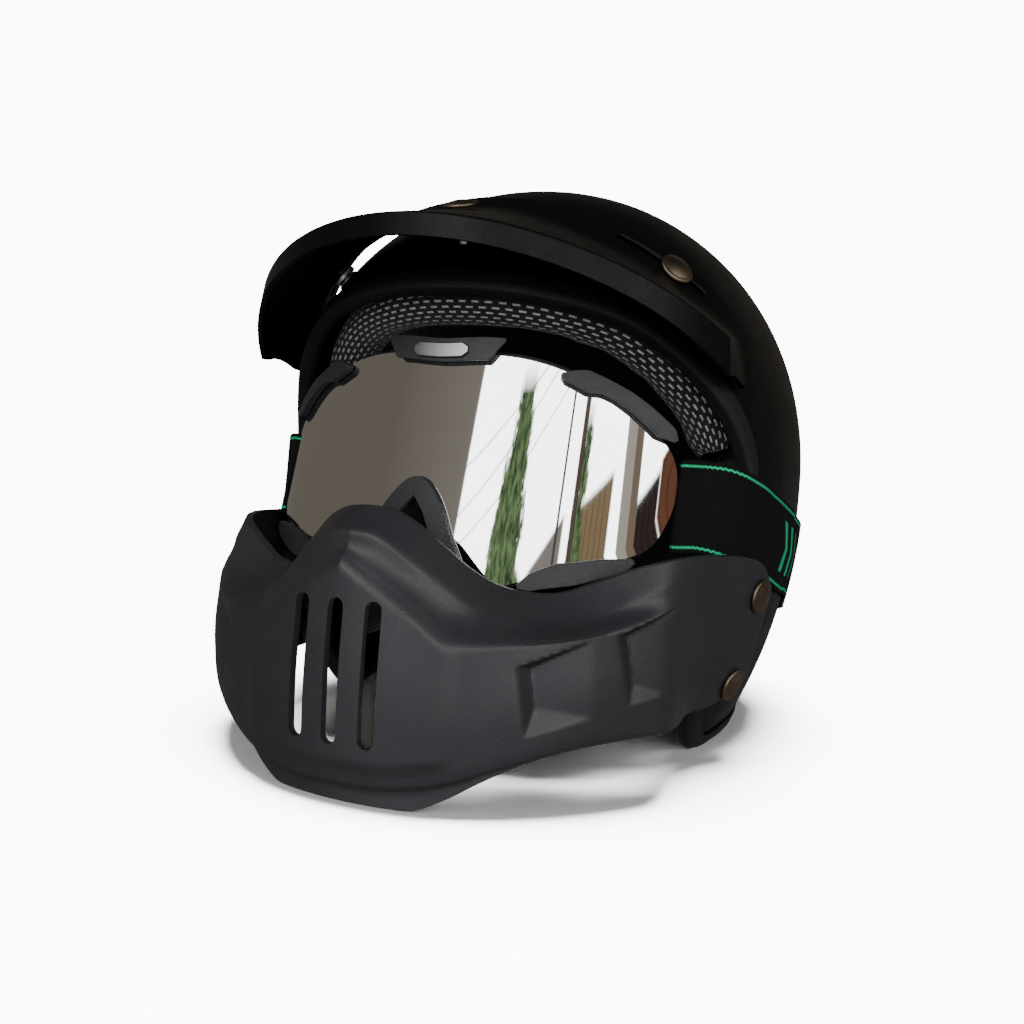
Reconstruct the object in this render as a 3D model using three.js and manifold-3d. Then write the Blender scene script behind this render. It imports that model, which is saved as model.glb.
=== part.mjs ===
// Open face motorcycle helmet with a peak and a face mask held by press studs, and a pair of goggles.
// Millimetres. +Z is up, -Y is the way the wearer looks, +X is the wearer's left.
// The helmet stands on the shell's rear rim and on the flange of the mask, at z = 0.

import * as THREE from 'three';
import { mergeVertices } from 'three/addons/utils/BufferGeometryUtils.js';
import Module from 'manifold-3d';

const wasm = await Module();
wasm.setup();

// ---------------------------------------------------------------- driving dimensions

// The outer shell is a superellipsoid about this centre, cut by one closed edge.
const SHELL = {
  centreZ: 120.5, halfWidth: 122.6, front: 143.6, rear: 150.8, crown: 135, skirt: 182, power: 2.08, wall: 4,
};
// The edge of the shell from the brow to the nape, as [azimuth, elevation] seen from the centre.
const BROW_EDGE = [[0, 31], [20, 30], [38, 26.6], [51, 19.3], [59.7, 11.4], [64.6, 2], [63.6, -9],
  [61, -20], [59.5, -32], [60.5, -41]];
const BOTTOM_EDGE_AZIMUTHS = [70, 84, 98, 116, 136, 158, 180];
const BOTTOM_EDGE_Z = 2;
const CROWN_POLE = [180, 51.5];

const TRIM = { lip: 7, over: 1.6, gap: 0.4, web: 2.4 };
const EPS = { outer: -7.2, inner: -24 };
const COMFORT = { outer: -26.6, inner: -34 };

// Snap fasteners: lifts are measured along the shell's normal from its outer surface.
const SNAP = { capRadius: 7.5, capHeight: 2.8, socketRadius: 6.2, studRadius: 3, studBase: 5.6 };
const BAND_LIFT = 4.4;
const PEAK_WALL = 2.2;
const MASK_WALL = 3;
const PEAK_SNAPS = { left: [47, 203], right: [-47, 203] };
// The middle snap stands higher, tilted with the peak's top.
const CENTRE_SNAP = { y: -110.5, z: 226.6, tilt: 20 };
const MASK_SNAPS = {
  upper_left: [68, 75], lower_left: [66.5, 37], upper_right: [-68, 75], lower_right: [-66.5, 37],
};

// The mask's plan is half an ellipse. Its levels are heights against the angle from the front, in degrees.
const MASK = { halfWidth: 122, depth: 134, centreY: -47, lastAngle: 94 };
const MASK_TOP = [[0, 106], [5, 105], [10, 101], [16, 93], [21, 86], [27, 80], [34, 77], [41, 77.5],
  [47, 82], [54, 88], [62, 92], [74, 92.5], [86, 90], [94, 82]];
const MASK_LIP = [[0, 97], [5, 96], [10, 90], [16, 81.5], [21, 75], [27, 71], [34, 69], [41, 70], [50, 76],
  [60, 84], [74, 87], [86, 85], [94, 78]];
const MASK_RIDGE = [[0, 87.5], [7.5, 79], [13, 71.5], [19.6, 62], [28, 62.5], [37, 64], [44, 66.5],
  [52, 70], [62, 73], [76, 74], [94, 68]];
const MASK_HEM = [[0, 7.8], [7, 7.8], [13, 9], [20, 12], [29, 18], [38, 24], [46, 27], [54, 28.8],
  [66, 28.8], [82, 30], [94, 38]];
const MASK_FLANGE = [[0, 0], [12, 0], [15, 0.6], [20, 5], [27, 13], [34, 19.5], [43, 24.5], [54, 27.4],
  [66, 27.6], [82, 28.8], [94, 36.8]];
const MASK_TOP_INSET = [[0, 15], [10, 17], [21, 21], [34, 25], [45, 18], [55, 9], [66, 1.5], [74, 0.4],
  [94, 0.4]];
const MASK_LIP_INSET = [[0, 4], [10, 6], [21, 11], [34, 15], [45, 10], [55, 4.5], [66, 0.6], [74, 0],
  [94, 0]];
const MASK_FLANGE_INSET = [[0, 6], [34, 5.5], [48, 3], [60, 0.6], [70, 0], [94, 0]];
const SLOT = { width: 6.2, spacing: 14.7, bottom: 22, top: 74 };

// The peak runs from a band on the shell to a crease, and turns down to a lip.
const PEAK_REAR = [[0, 52.5], [12, 51.2], [23, 49.6], [33, 47], [42, 43.8], [50, 39.8], [57.5, 35.2],
  [63.8, 28], [61.8, 18.2]];
const PEAK_LEAVE = [[0, 47], [10, 46.3], [20, 44.2], [30, 41], [39.5, 37], [48, 32.5], [55, 28.5],
  [59.5, 25], [59.3, 17]];
const PEAK_CENTRE_LIFT = 0.4;
const PEAK_CENTRE_SPREAD = 0.3;
const PEAK_CREASE = {
  halfWidth: 122.3, baseY: -51.2, reach: 108.1, baseZ: 157.3, rise: 57.6, power: 1.15, lastAngle: 65.5,
};
// At each end the crease turns down: where this starts across the peak, its fall and its step back.
const PEAK_TIP = { start: 0.875, fall: 10.5, back: 4 };
const PEAK_LIP_DROP = [[0, 9], [0.6, 10.5], [0.875, 15]];

// Goggles: the lens is part of a leaning cylinder. The outline is [x, z] from the top centre to the nose.
const LENS = { radius: 125, topY: -117, topZ: 165, lean: 0.245, wall: 1.6 };
const LENS_OUTLINE = [[0, 165.5], [22, 166.5], [40, 164.4], [57, 158.6], [77, 146], [90, 131], [93, 117],
  [91, 103], [86, 93.5], [67, 85.5], [52, 81.5], [36, 76.5], [25, 78.5], [16, 90], [7, 106.5], [0, 113]];
const LENS_CENTRE_Z = 138;
const FRAME_DEPTH = 12;
const FOAM_DEPTH = 12;

// The goggle strap runs round the shell: elevation of its centre line against azimuth.
const STRAP = { width: 40, thickness: 1.6, frontAzimuth: 57.5, jointAzimuth: 76 };
const STRAP_LINE = [[57, -5], [74, -10], [85, -13.3], [100, -16.5], [140, -21], [180, -22.5]];

const CHIN_STRAP = { width: 22, thickness: 1.8 };
const BUCKLE = { x: 38, y: 10, z: 10, length: 40, width: 27, height: 9 };

// Puts the middle of the whole helmet's box on the Z axis.
const MIDDLE_Y = 15.98;

// ---------------------------------------------------------------- geometry helpers

const radians = (degrees) => THREE.MathUtils.degToRad(degrees);
const lerp = THREE.MathUtils.lerp;
const smoothstep = THREE.MathUtils.smoothstep;
const vec = (x, y, z) => new THREE.Vector3(x, y, z);
const CENTRE = vec(0, 0, SHELL.centreZ);

// A smooth curve through [x, y] points, with Catmull-Rom slopes.
function curveThrough(points) {
  const slope = (i) => {
    const before = points[Math.max(i - 1, 0)];
    const after = points[Math.min(i + 1, points.length - 1)];
    return (after[1] - before[1]) / (after[0] - before[0]);
  };
  return (x) => {
    let i = 0;
    while (i < points.length - 2 && x > points[i + 1][0]) i++;
    const [x0, y0] = points[i];
    const [x1, y1] = points[i + 1];
    const h = x1 - x0;
    const t = THREE.MathUtils.clamp((x - x0) / h, 0, 1);
    const t2 = t * t;
    const t3 = t2 * t;
    return (2 * t3 - 3 * t2 + 1) * y0 + (t3 - 2 * t2 + t) * h * slope(i)
      + (3 * t2 - 2 * t3) * y1 + (t3 - t2) * h * slope(i + 1);
  };
}

function direction(azimuth, elevation) {
  const a = radians(azimuth);
  const e = radians(elevation);
  return vec(Math.sin(a) * Math.cos(e), -Math.cos(a) * Math.cos(e), Math.sin(e));
}

function semiAxes(d) {
  return [SHELL.halfWidth, d.y < 0 ? SHELL.front : SHELL.rear, d.z > 0 ? SHELL.crown : SHELL.skirt];
}

// The point where a direction from the centre meets the shell, moved out along the shell's normal.
function onShell(d, lift = 0) {
  const n = SHELL.power;
  const axes = semiAxes(d);
  const parts = [d.x, d.y, d.z];
  const sum = parts.reduce((total, part, i) => total + Math.abs(part / axes[i]) ** n, 0);
  const point = d.clone().multiplyScalar(sum ** (-1 / n));
  const slope = (v, axis) => (Math.sign(v) * Math.abs(v) ** (n - 1)) / axis ** n;
  const out = [point.x, point.y, point.z].map((v, i) => slope(v, axes[i]));
  const normal = vec(...out).normalize();
  return point.add(CENTRE).addScaledVector(normal, lift);
}

// The shell's point at an azimuth and a height.
function onShellAtHeight(azimuth, z, lift = 0) {
  const n = SHELL.power;
  const d = direction(azimuth, 0);
  const axes = semiAxes(vec(d.x, d.y, z - SHELL.centreZ));
  const level = 1 - Math.abs((z - SHELL.centreZ) / axes[2]) ** n;
  const radius = (level / (Math.abs(d.x / axes[0]) ** n + Math.abs(d.y / axes[1]) ** n)) ** (1 / n);
  const point = vec(d.x * radius, d.y * radius, z - SHELL.centreZ);
  return onShell(point.normalize(), lift);
}

function shellNormal(azimuth, z) {
  return onShellAtHeight(azimuth, z, 1).sub(onShellAtHeight(azimuth, z, 0)).normalize();
}

// A closed body from loose triangles: shared points merged, slivers dropped, faces out.
function closedBody(positions, index) {
  const loose = new THREE.BufferGeometry();
  loose.setAttribute('position', new THREE.Float32BufferAttribute(positions, 3));
  if (index) loose.setIndex(index);
  const merged = mergeVertices(loose, 1e-4);
  const order = merged.index.array;
  const at = merged.attributes.position;
  const kept = [];
  let volume = 0;
  const corner = [vec(0, 0, 0), vec(0, 0, 0), vec(0, 0, 0)];
  for (let i = 0; i < order.length; i += 3) {
    const triple = [order[i], order[i + 1], order[i + 2]];
    if (new Set(triple).size < 3) continue;
    kept.push(...triple);
    triple.forEach((k, c) => corner[c].fromBufferAttribute(at, k));
    volume += corner[0].dot(corner[1].clone().cross(corner[2]));
  }
  if (volume < 0) kept.reverse();
  merged.setIndex(kept);
  return merged;
}

function fromGeometry(geometry) {
  const order = geometry.index ? Array.from(geometry.index.array) : undefined;
  return closedBody(Array.from(geometry.attributes.position.array), order);
}

// A wall between two faces that are functions of (u, v). A ring closes on itself along u.
function slab(outer, inner, across, along, ring = false) {
  const positions = [];
  const index = [];
  const id = (face, i, j) => (face * (across + 1) + i) * (along + 1) + j;
  const quad = (a, b, c, d) => index.push(a, b, c, a, c, d);
  for (const face of [outer, inner]) {
    for (let i = 0; i <= across; i++) {
      for (let j = 0; j <= along; j++) {
        const point = face(ring && i === across ? 0 : i / across, j / along);
        positions.push(point.x, point.y, point.z);
      }
    }
  }
  for (let i = 0; i < across; i++) {
    for (let j = 0; j < along; j++) {
      quad(id(0, i, j), id(0, i + 1, j), id(0, i + 1, j + 1), id(0, i, j + 1));
      quad(id(1, i, j), id(1, i, j + 1), id(1, i + 1, j + 1), id(1, i + 1, j));
    }
    quad(id(0, i, 0), id(1, i, 0), id(1, i + 1, 0), id(0, i + 1, 0));
    quad(id(0, i + 1, along), id(1, i + 1, along), id(1, i, along), id(0, i, along));
  }
  if (!ring) {
    for (let j = 0; j < along; j++) {
      quad(id(0, 0, j + 1), id(1, 0, j + 1), id(1, 0, j), id(0, 0, j));
      quad(id(0, across, j), id(1, across, j), id(1, across, j + 1), id(0, across, j + 1));
    }
  }
  return closedBody(positions, index);
}

// A section of [a, b] corners carried along u by place(u, a, b). Open sweeps need a convex section.
function sweep(place, section, steps, ring = false) {
  const positions = [];
  const index = [];
  const sides = section.length;
  for (let i = 0; i <= steps; i++) {
    for (const [a, b] of section) {
      const point = place(ring && i === steps ? 0 : i / steps, a, b);
      positions.push(point.x, point.y, point.z);
    }
  }
  for (let i = 0; i < steps; i++) {
    for (let k = 0; k < sides; k++) {
      const next = (k + 1) % sides;
      const [p, q, r, s] = [i * sides + k, i * sides + next, (i + 1) * sides + next, (i + 1) * sides + k];
      index.push(p, q, r, p, r, s);
    }
  }
  if (!ring) {
    const last = steps * sides;
    for (let k = 1; k < sides - 1; k++) {
      index.push(0, k + 1, k, last, last + k, last + k + 1);
    }
  }
  return closedBody(positions, index);
}

const box = (x, y, z) => fromGeometry(new THREE.BoxGeometry(x, y, z));
const turned = (profile, sides) => fromGeometry(new THREE.LatheGeometry(
  profile.map(([r, h]) => new THREE.Vector2(r, h)), sides).rotateX(Math.PI / 2));

function rod(radius, length, sides = 12) {
  return fromGeometry(new THREE.CylinderGeometry(radius, radius, length, sides));
}

function toSolid(geometry) {
  const bare = new THREE.BufferGeometry();
  bare.setAttribute('position', geometry.attributes.position.clone());
  bare.setIndex(geometry.index.clone());
  const merged = mergeVertices(bare, 1e-4);
  return new wasm.Manifold(new wasm.Mesh({
    numProp: 3,
    vertProperties: merged.attributes.position.array,
    triVerts: Uint32Array.from(merged.index.array),
  }));
}

function fromSolid(solid) {
  const mesh = solid.getMesh();
  return closedBody(Array.from(mesh.vertProperties), Array.from(mesh.triVerts));
}

function cut(geometry, ...tools) {
  return fromSolid(tools.reduce((solid, tool) => solid.subtract(toSolid(tool)), toSolid(geometry)));
}

function join(...geometries) {
  return fromSolid(geometries.map(toSolid).reduce((solid, more) => solid.add(more)));
}

const helmet = new THREE.Group();

function add(name, geometry, [colour, roughness, metalness]) {
  const material = new THREE.MeshStandardMaterial({ color: colour, roughness, metalness });
  const mesh = new THREE.Mesh(geometry, material);
  mesh.name = name;
  helmet.add(mesh);
  return mesh;
}

// Stands a turned piece, whose axis is +Z, on the shell.
function standOnShell(mesh, azimuth, z, lift) {
  mesh.position.copy(onShellAtHeight(azimuth, z, lift));
  mesh.quaternion.setFromUnitVectors(vec(0, 0, 1), shellNormal(azimuth, z));
}

// ---------------------------------------------------------------- materials

const MATT_SHELL = ['#0b0b0c', 0.62, 0];
const MATT_MASK = ['#232327', 0.5, 0];
const RUBBER = ['#0c0c0d', 0.75, 0];
const FOAM_DARK = ['#3c3c3e', 0.9, 0];
const FABRIC = ['#16161a', 0.95, 0];
const FOAM_BLACK = ['#101012', 0.95, 0];
const BRONZE = ['#4a3f37', 0.38, 1];
const STEEL = ['#8b8d90', 0.35, 1];
const MIRROR = ['#c9c9c6', 0.05, 1];
const GOGGLE_PLASTIC = ['#141417', 0.55, 0];
const SILVER = ['#c9cbcc', 0.3, 0.8];
const ELASTIC = ['#0d0d0f', 0.9, 0];
const WEBBING = ['#121214', 0.9, 0];
const BUCKLE_PLASTIC = ['#18181a', 0.5, 0];

// ---------------------------------------------------------------- shell, trim and liners

const edgePoints = (side) => [
  ...BROW_EDGE.map(([az, el]) => onShell(direction(side * az, el))),
  ...BOTTOM_EDGE_AZIMUTHS.map((az) => onShellAtHeight(side * az, BOTTOM_EDGE_Z)),
];
const rightEdge = edgePoints(-1).slice(1, -1).reverse();
const edgeCurve = new THREE.CatmullRomCurve3([...edgePoints(1), ...rightEdge], true, 'centripetal');
edgeCurve.arcLengthDivisions = 800;
const pole = direction(...CROWN_POLE);
const EDGE_STEPS = 64;

function edgeDirection(u) {
  return edgeCurve.getPointAt(u % 1).sub(CENTRE).normalize();
}

// The direction a fraction v of the way along the great circle from the crown to the edge.
function towardsEdge(u, v) {
  const end = edgeDirection(u);
  const angle = pole.angleTo(end);
  const side = end.clone().addScaledVector(pole, -Math.cos(angle)).normalize();
  return pole.clone().multiplyScalar(Math.cos(angle * v)).addScaledVector(side, Math.sin(angle * v));
}

// A point past the edge (a is mm beyond it, along the surface) at a lift of b.
function atEdge(u, a, b) {
  const end = edgeDirection(u);
  const angle = pole.angleTo(end);
  const reach = onShell(end).distanceTo(CENTRE);
  return onShell(towardsEdge(u, 1 + a / (reach * angle)), b);
}

// Rows of the bowl crowd towards the edge, where the trim grips it.
const ROWS = [0, 0.15, 0.3, 0.45, 0.59, 0.72, 0.84, 0.965, 1];
const row = (v) => ROWS[Math.round(v * (ROWS.length - 1))];
const outerShell = slab(
  (u, v) => onShell(towardsEdge(u, row(v)), 0),
  (u, v) => onShell(towardsEdge(u, row(v)), -SHELL.wall),
  EDGE_STEPS, ROWS.length - 1, true,
);
add('outer_shell', outerShell, MATT_SHELL);

const trimOut = TRIM.gap + TRIM.over;
const trimIn = -SHELL.wall - trimOut;
const trimFloor = 0.3;
const trimSection = [
  [-TRIM.lip, TRIM.gap], [-TRIM.lip, 1.3], [1.4, trimOut], [trimFloor + TRIM.web, 0.4],
  [trimFloor + TRIM.web, -SHELL.wall - 0.4], [1.4, trimIn], [-TRIM.lip, trimIn + 0.6],
  [-TRIM.lip, -SHELL.wall - TRIM.gap], [trimFloor, -SHELL.wall - TRIM.gap], [trimFloor, TRIM.gap],
];
// The trim's underside is ground flat where the helmet stands on it.
const atTrim = (u, a, b) => {
  const point = atEdge(u, a, b);
  return point.setZ(Math.max(point.z, 0));
};
add('edge_trim', sweep(atTrim, trimSection, EDGE_STEPS, true), RUBBER);

// How far each liner reaches: to a set distance from the edge, and no lower than the pads' top.
function linerEnd(u, inset, sideElevation, rearElevation) {
  const end = edgeDirection(u);
  const reach = onShell(end).distanceTo(CENTRE) * pole.angleTo(end);
  let v = 1 - inset / reach;
  const tooLow = (d) => {
    const azimuth = Math.abs(THREE.MathUtils.radToDeg(Math.atan2(d.x, -d.y)));
    const limit = lerp(sideElevation, rearElevation, smoothstep(azimuth, 105, 165));
    return THREE.MathUtils.radToDeg(Math.asin(d.z)) < limit;
  };
  while (tooLow(towardsEdge(u, v))) v -= 0.004;
  return v;
}

const bowl = (layer, inset, sideElevation, rearElevation, rows) => slab(
  (u, v) => onShell(towardsEdge(u, v * linerEnd(u, inset, sideElevation, rearElevation)), layer.outer),
  (u, v) => onShell(towardsEdge(u, v * linerEnd(u, inset, sideElevation, rearElevation)), layer.inner),
  44, rows, true,
);
add('eps_liner', bowl(EPS, 28, -11, -31, 5), FOAM_DARK);
add('comfort_liner', bowl(COMFORT, 30, -8, -27, 5), FABRIC);

// The brow roll follows the face opening, just inside the rim.
const browSection = [[-2.5, -7], [-1, -13], [-2, -24], [-6, -32], [-13, -35], [-22, -32], [-24, -20],
  [-23, -7]];
const BROW_HALF_LENGTH = 0.165;
const alongBrow = (u) => (lerp(-BROW_HALF_LENGTH, BROW_HALF_LENGTH, u) + 1) % 1;
add('brow_roll', sweep((u, a, b) => atEdge(alongBrow(u), a, b), browSection, 30), FABRIC);

function pad(side, [azFront, azRear], [elLow, elHigh], thickness) {
  const across = (u, v) => direction(side * lerp(azFront, azRear, u), lerp(elLow, elHigh, v));
  const swell = (u, v) => 8 + thickness * (1 - (2 * u - 1) ** 4) * (1 - (2 * v - 1) ** 4);
  const outer = (u, v) => onShell(across(u, v), -6.6);
  const inner = (u, v) => onShell(across(u, v), -6.6 - swell(u, v));
  return slab(outer, inner, 8, 6);
}
for (const [name, side] of [['left', 1], ['right', -1]]) {
  add(`cheek_pad_${name}`, pad(side, [72, 98], [-46, -14], 22), FABRIC);
}

const neckSection = [[9, -7], [28, -7], [31, -13], [28, -21], [18, -25], [9, -21], [6.5, -14]];
const neckPlace = (u, a, b) => onShellAtHeight(lerp(128, 232, u), a, b);
add('neck_roll', sweep(neckPlace, neckSection, 16), FABRIC);

// ---------------------------------------------------------------- snap fasteners

const studProfile = [
  [0, 0], [SNAP.studBase, 0], [SNAP.studBase, 1], [2.4, 1.2], [2.4, 2.4], [SNAP.studRadius, 3], [0, 3.7],
];
const socketProfile = [[3.4, 0], [SNAP.socketRadius, 0], [SNAP.socketRadius, 2], [3.4, 2], [3.4, 0]];
const capProfile = [[0, 0], [SNAP.capRadius - 0.3, 0], [SNAP.capRadius, 0.8], [5.6, 2.1], [0, SNAP.capHeight]];

function snap(group, name, [azimuth, z], wall) {
  const stud = add(`${group}_stud_${name}`, turned(studProfile, 12), STEEL);
  const socket = add(`${group}_socket_${name}`, turned(socketProfile, 12), STEEL);
  const cap = add(`${group}_cap_${name}`, turned(capProfile, 16), BRONZE);
  standOnShell(stud, azimuth, z, 0.3);
  standOnShell(socket, azimuth, z, 1.9);
  standOnShell(cap, azimuth, z, BAND_LIFT + wall + 0.35);
}
for (const [name, place] of Object.entries(PEAK_SNAPS)) snap('peak', name, place, PEAK_WALL);
for (const [name, place] of Object.entries(MASK_SNAPS)) snap('mask', name, place, MASK_WALL);

// The middle snap's stud is longer, and its foot is cut to the shell.
const centreTilt = radians(CENTRE_SNAP.tilt);
const centreNormal = vec(0, -Math.sin(centreTilt), Math.cos(centreTilt));
const centreTurn = new THREE.Quaternion().setFromUnitVectors(vec(0, 0, 1), centreNormal);
const centrePlace = (depth) => vec(0, CENTRE_SNAP.y, CENTRE_SNAP.z).addScaledVector(centreNormal, depth);
const footSlab = slab(
  (u, v) => onShell(direction(lerp(-8, 8, u), lerp(30, 54, v)), 0.35),
  (u, v) => onShell(direction(lerp(-8, 8, u), lerp(30, 54, v)), -20), 4, 6,
);
const centreStudProfile = [[0, -24], [SNAP.studBase, -24], [SNAP.studBase, -9], [2.4, -7.4], [2.4, -3.6],
  [SNAP.studRadius, -3], [0, -2.5]];
const centreStud = turned(centreStudProfile, 12);
centreStud.applyQuaternion(centreTurn).translate(...centrePlace(0).toArray());
add('peak_stud_centre', cut(centreStud, footSlab), STEEL);
for (const [name, profile, sides, depth, look] of [
  ['socket', socketProfile, 12, -PEAK_WALL - 3.3, STEEL], ['cap', capProfile, 16, 1.2, BRONZE],
]) {
  const piece = add(`peak_${name}_centre`, turned(profile, sides), look);
  piece.position.copy(centrePlace(depth));
  piece.quaternion.copy(centreTurn);
}

// ---------------------------------------------------------------- peak

const byFraction = (points) => {
  const step = 1 / (points.length - 1);
  const azimuth = curveThrough(points.map((p, i) => [i * step, p[0]]));
  const elevation = curveThrough(points.map((p, i) => [i * step, p[1]]));
  return (s, lift) => onShell(direction(Math.sign(s) * azimuth(Math.abs(s)), elevation(Math.abs(s))), lift);
};
const peakRear = byFraction(PEAK_REAR);
const peakLeave = byFraction(PEAK_LEAVE);
const lipDrop = curveThrough(PEAK_LIP_DROP);

const tipShare = (s) => Math.max(0, (Math.abs(s) - PEAK_TIP.start) / (1 - PEAK_TIP.start));
function peakCrease(s) {
  const across = Math.sign(s) * Math.min(Math.abs(s) / PEAK_TIP.start, 1);
  const t = radians(PEAK_CREASE.lastAngle * across);
  const near = Math.cos(t) ** PEAK_CREASE.power;
  const tip = tipShare(s);
  return vec(PEAK_CREASE.halfWidth * Math.sin(t),
    PEAK_CREASE.baseY - PEAK_CREASE.reach * near + PEAK_TIP.back * tip,
    PEAK_CREASE.baseZ + PEAK_CREASE.rise * near - PEAK_TIP.fall * tip);
}

// Rows from the rear edge over the band to the crease and down the lip. depth is measured inwards.
const PEAK_ROWS = 8;
const centreLift = (s) => PEAK_CENTRE_LIFT * Math.exp(-((s / PEAK_CENTRE_SPREAD) ** 2));
function peakFace(u, v, depth) {
  const s = 2 * u - 1;
  const k = Math.round(v * PEAK_ROWS);
  const lift = BAND_LIFT + PEAK_WALL - depth;
  if (k <= 3) {
    const rear = peakRear(s, 0).sub(CENTRE);
    const leave = peakLeave(s, 0).sub(CENTRE);
    return onShell(rear.lerp(leave, k / 3).normalize(), lift + centreLift(s) * smoothstep(k, 0, 3));
  }
  const crease = peakCrease(s);
  const outward = vec(crease.x, crease.y + 40, 0).normalize();
  if (k <= 6) {
    const fraction = (k - 3) / 3;
    const bulge = 1.5 * Math.sin(Math.PI * fraction) * Math.abs(s);
    const corner = crease.clone().addScaledVector(outward, -depth).add(vec(0, 0, -depth));
    return peakLeave(s, lift + centreLift(s)).lerp(corner, fraction).add(vec(0, 0, bulge));
  }
  const lip = lipDrop(Math.min(Math.abs(s), PEAK_TIP.start)) - PEAK_TIP.fall * tipShare(s);
  const drop = lip * (k - 6) / 2;
  const undercut = k === 7 ? depth * 0.5 : 0;
  return crease.addScaledVector(outward, 0.8 * (k - 6) - depth).add(vec(0, 0, -drop - undercut));
}
const peakBody = slab((u, v) => peakFace(u, v, 0), (u, v) => peakFace(u, v, PEAK_WALL), 32, PEAK_ROWS);
add('peak_visor', peakBody, MATT_SHELL);

// ---------------------------------------------------------------- face mask

const maskCurves = {
  top: curveThrough(MASK_TOP), lip: curveThrough(MASK_LIP), ridge: curveThrough(MASK_RIDGE),
  hem: curveThrough(MASK_HEM), flange: curveThrough(MASK_FLANGE), topInset: curveThrough(MASK_TOP_INSET),
  lipInset: curveThrough(MASK_LIP_INSET), flangeInset: curveThrough(MASK_FLANGE_INSET),
};

// The mask's outer face at an angle from the front and a height, moved in by inset.
function maskPoint(angle, z, inset) {
  const a = radians(angle);
  const x = MASK.halfWidth * Math.sin(a);
  const y = -MASK.depth * Math.cos(a);
  const normal = vec(x / MASK.halfWidth ** 2, y / MASK.depth ** 2, 0).normalize();
  const front = vec(x, y + MASK.centreY, z).addScaledVector(normal, -inset);
  const azimuth = THREE.MathUtils.radToDeg(Math.atan2(x, -(y + MASK.centreY)));
  const ear = onShellAtHeight(azimuth, z, BAND_LIFT + MASK_WALL - inset);
  return front.lerp(ear, smoothstep(Math.abs(angle), 56, 77));
}

// Levels of the mask's profile from the flange up to the top edge, each as [height, inset].
function maskLevels(angle) {
  const a = Math.abs(angle);
  const { top, lip, ridge, hem, flange, topInset, lipInset, flangeInset } = maskCurves;
  const fade = 1 - smoothstep(a, 45, 65);
  return [
    [Math.max(flange(a), 0), flangeInset(a)],
    [hem(a) - 0.6, flangeInset(a)],
    [hem(a), 0.8 * fade],
    [hem(a) + 4, 0],
    [lerp(hem(a), ridge(a), 0.5), -1.5 * fade],
    [ridge(a), 0],
    [lerp(ridge(a), lip(a), 0.5), 0.45 * lipInset(a) + 2.5 * fade],
    [lip(a), lipInset(a)],
    [top(a), topInset(a)],
  ];
}
const MASK_LEVELS = 8;
function maskFace(u, v, depth) {
  const angle = lerp(-MASK.lastAngle, MASK.lastAngle, u);
  const [z, inset] = maskLevels(angle)[Math.round(v * MASK_LEVELS)];
  return maskPoint(angle, z, inset + depth);
}

function slotTool(x) {
  const half = SLOT.width / 2;
  const outline = new THREE.Shape();
  outline.absarc(x, SLOT.bottom + half, half, Math.PI, 2 * Math.PI);
  outline.absarc(x, SLOT.top - half, half, 0, Math.PI);
  const block = new THREE.ExtrudeGeometry(outline, { depth: 60, bevelEnabled: false, curveSegments: 5 });
  return fromGeometry(block.rotateX(Math.PI / 2).translate(0, -150, 0));
}
const maskBody = slab((u, v) => maskFace(u, v, 0), (u, v) => maskFace(u, v, MASK_WALL), 48, MASK_LEVELS);
const slots = [-SLOT.spacing, 0, SLOT.spacing].map(slotTool);
add('face_mask', cut(maskBody, ...slots), MATT_MASK);

// ---------------------------------------------------------------- goggles

function lensPoint(x, z, lift) {
  const angle = Math.asin(x / LENS.radius);
  const front = LENS.topY - (LENS.topZ - z) * LENS.lean;
  const radius = LENS.radius + lift;
  return vec(radius * Math.sin(angle), front + LENS.radius - radius * Math.cos(angle), z);
}

const rightHalf = LENS_OUTLINE.map(([x, z]) => vec(x, z, 0));
const leftHalf = LENS_OUTLINE.slice(1, -1).reverse().map(([x, z]) => vec(-x, z, 0));
const outlineCurve = new THREE.CatmullRomCurve3([...rightHalf, ...leftHalf], true, 'centripetal');
outlineCurve.arcLengthDivisions = 400;

// A point beside the lens outline: a is mm outside it, b is the lift off the lens's front face.
function besideLens(u, a, b) {
  const wrapped = (u + 1) % 1;
  const point = outlineCurve.getPointAt(wrapped);
  const tangent = outlineCurve.getTangentAt(wrapped);
  return lensPoint(point.x - tangent.y * a, point.y + tangent.x * a, b);
}

function lensFace(u, v, lift) {
  const rim = outlineCurve.getPointAt(u % 1);
  return lensPoint(rim.x * v, lerp(LENS_CENTRE_Z, rim.y, v), lift);
}
const lens = slab((u, v) => lensFace(u, v, 0), (u, v) => lensFace(u, v, -LENS.wall), 40, 5, true);
add('goggle_lens', lens, MIRROR);

const rectangle = (a0, a1, b0, b1) => [[a0, b0], [a1, b0], [a1, b1], [a0, b1]];
const frameFront = -LENS.wall - 1;
const frameSection = rectangle(-5, 2, frameFront - FRAME_DEPTH, frameFront);
const foamFront = frameFront - FRAME_DEPTH - 0.4;
const foamSection = rectangle(-6, 1, foamFront - FOAM_DEPTH, foamFront);
add('goggle_frame', sweep(besideLens, frameSection, 48, true), GOGGLE_PLASTIC);
add('goggle_foam', sweep(besideLens, foamSection, 48, true), FOAM_BLACK);

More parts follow.
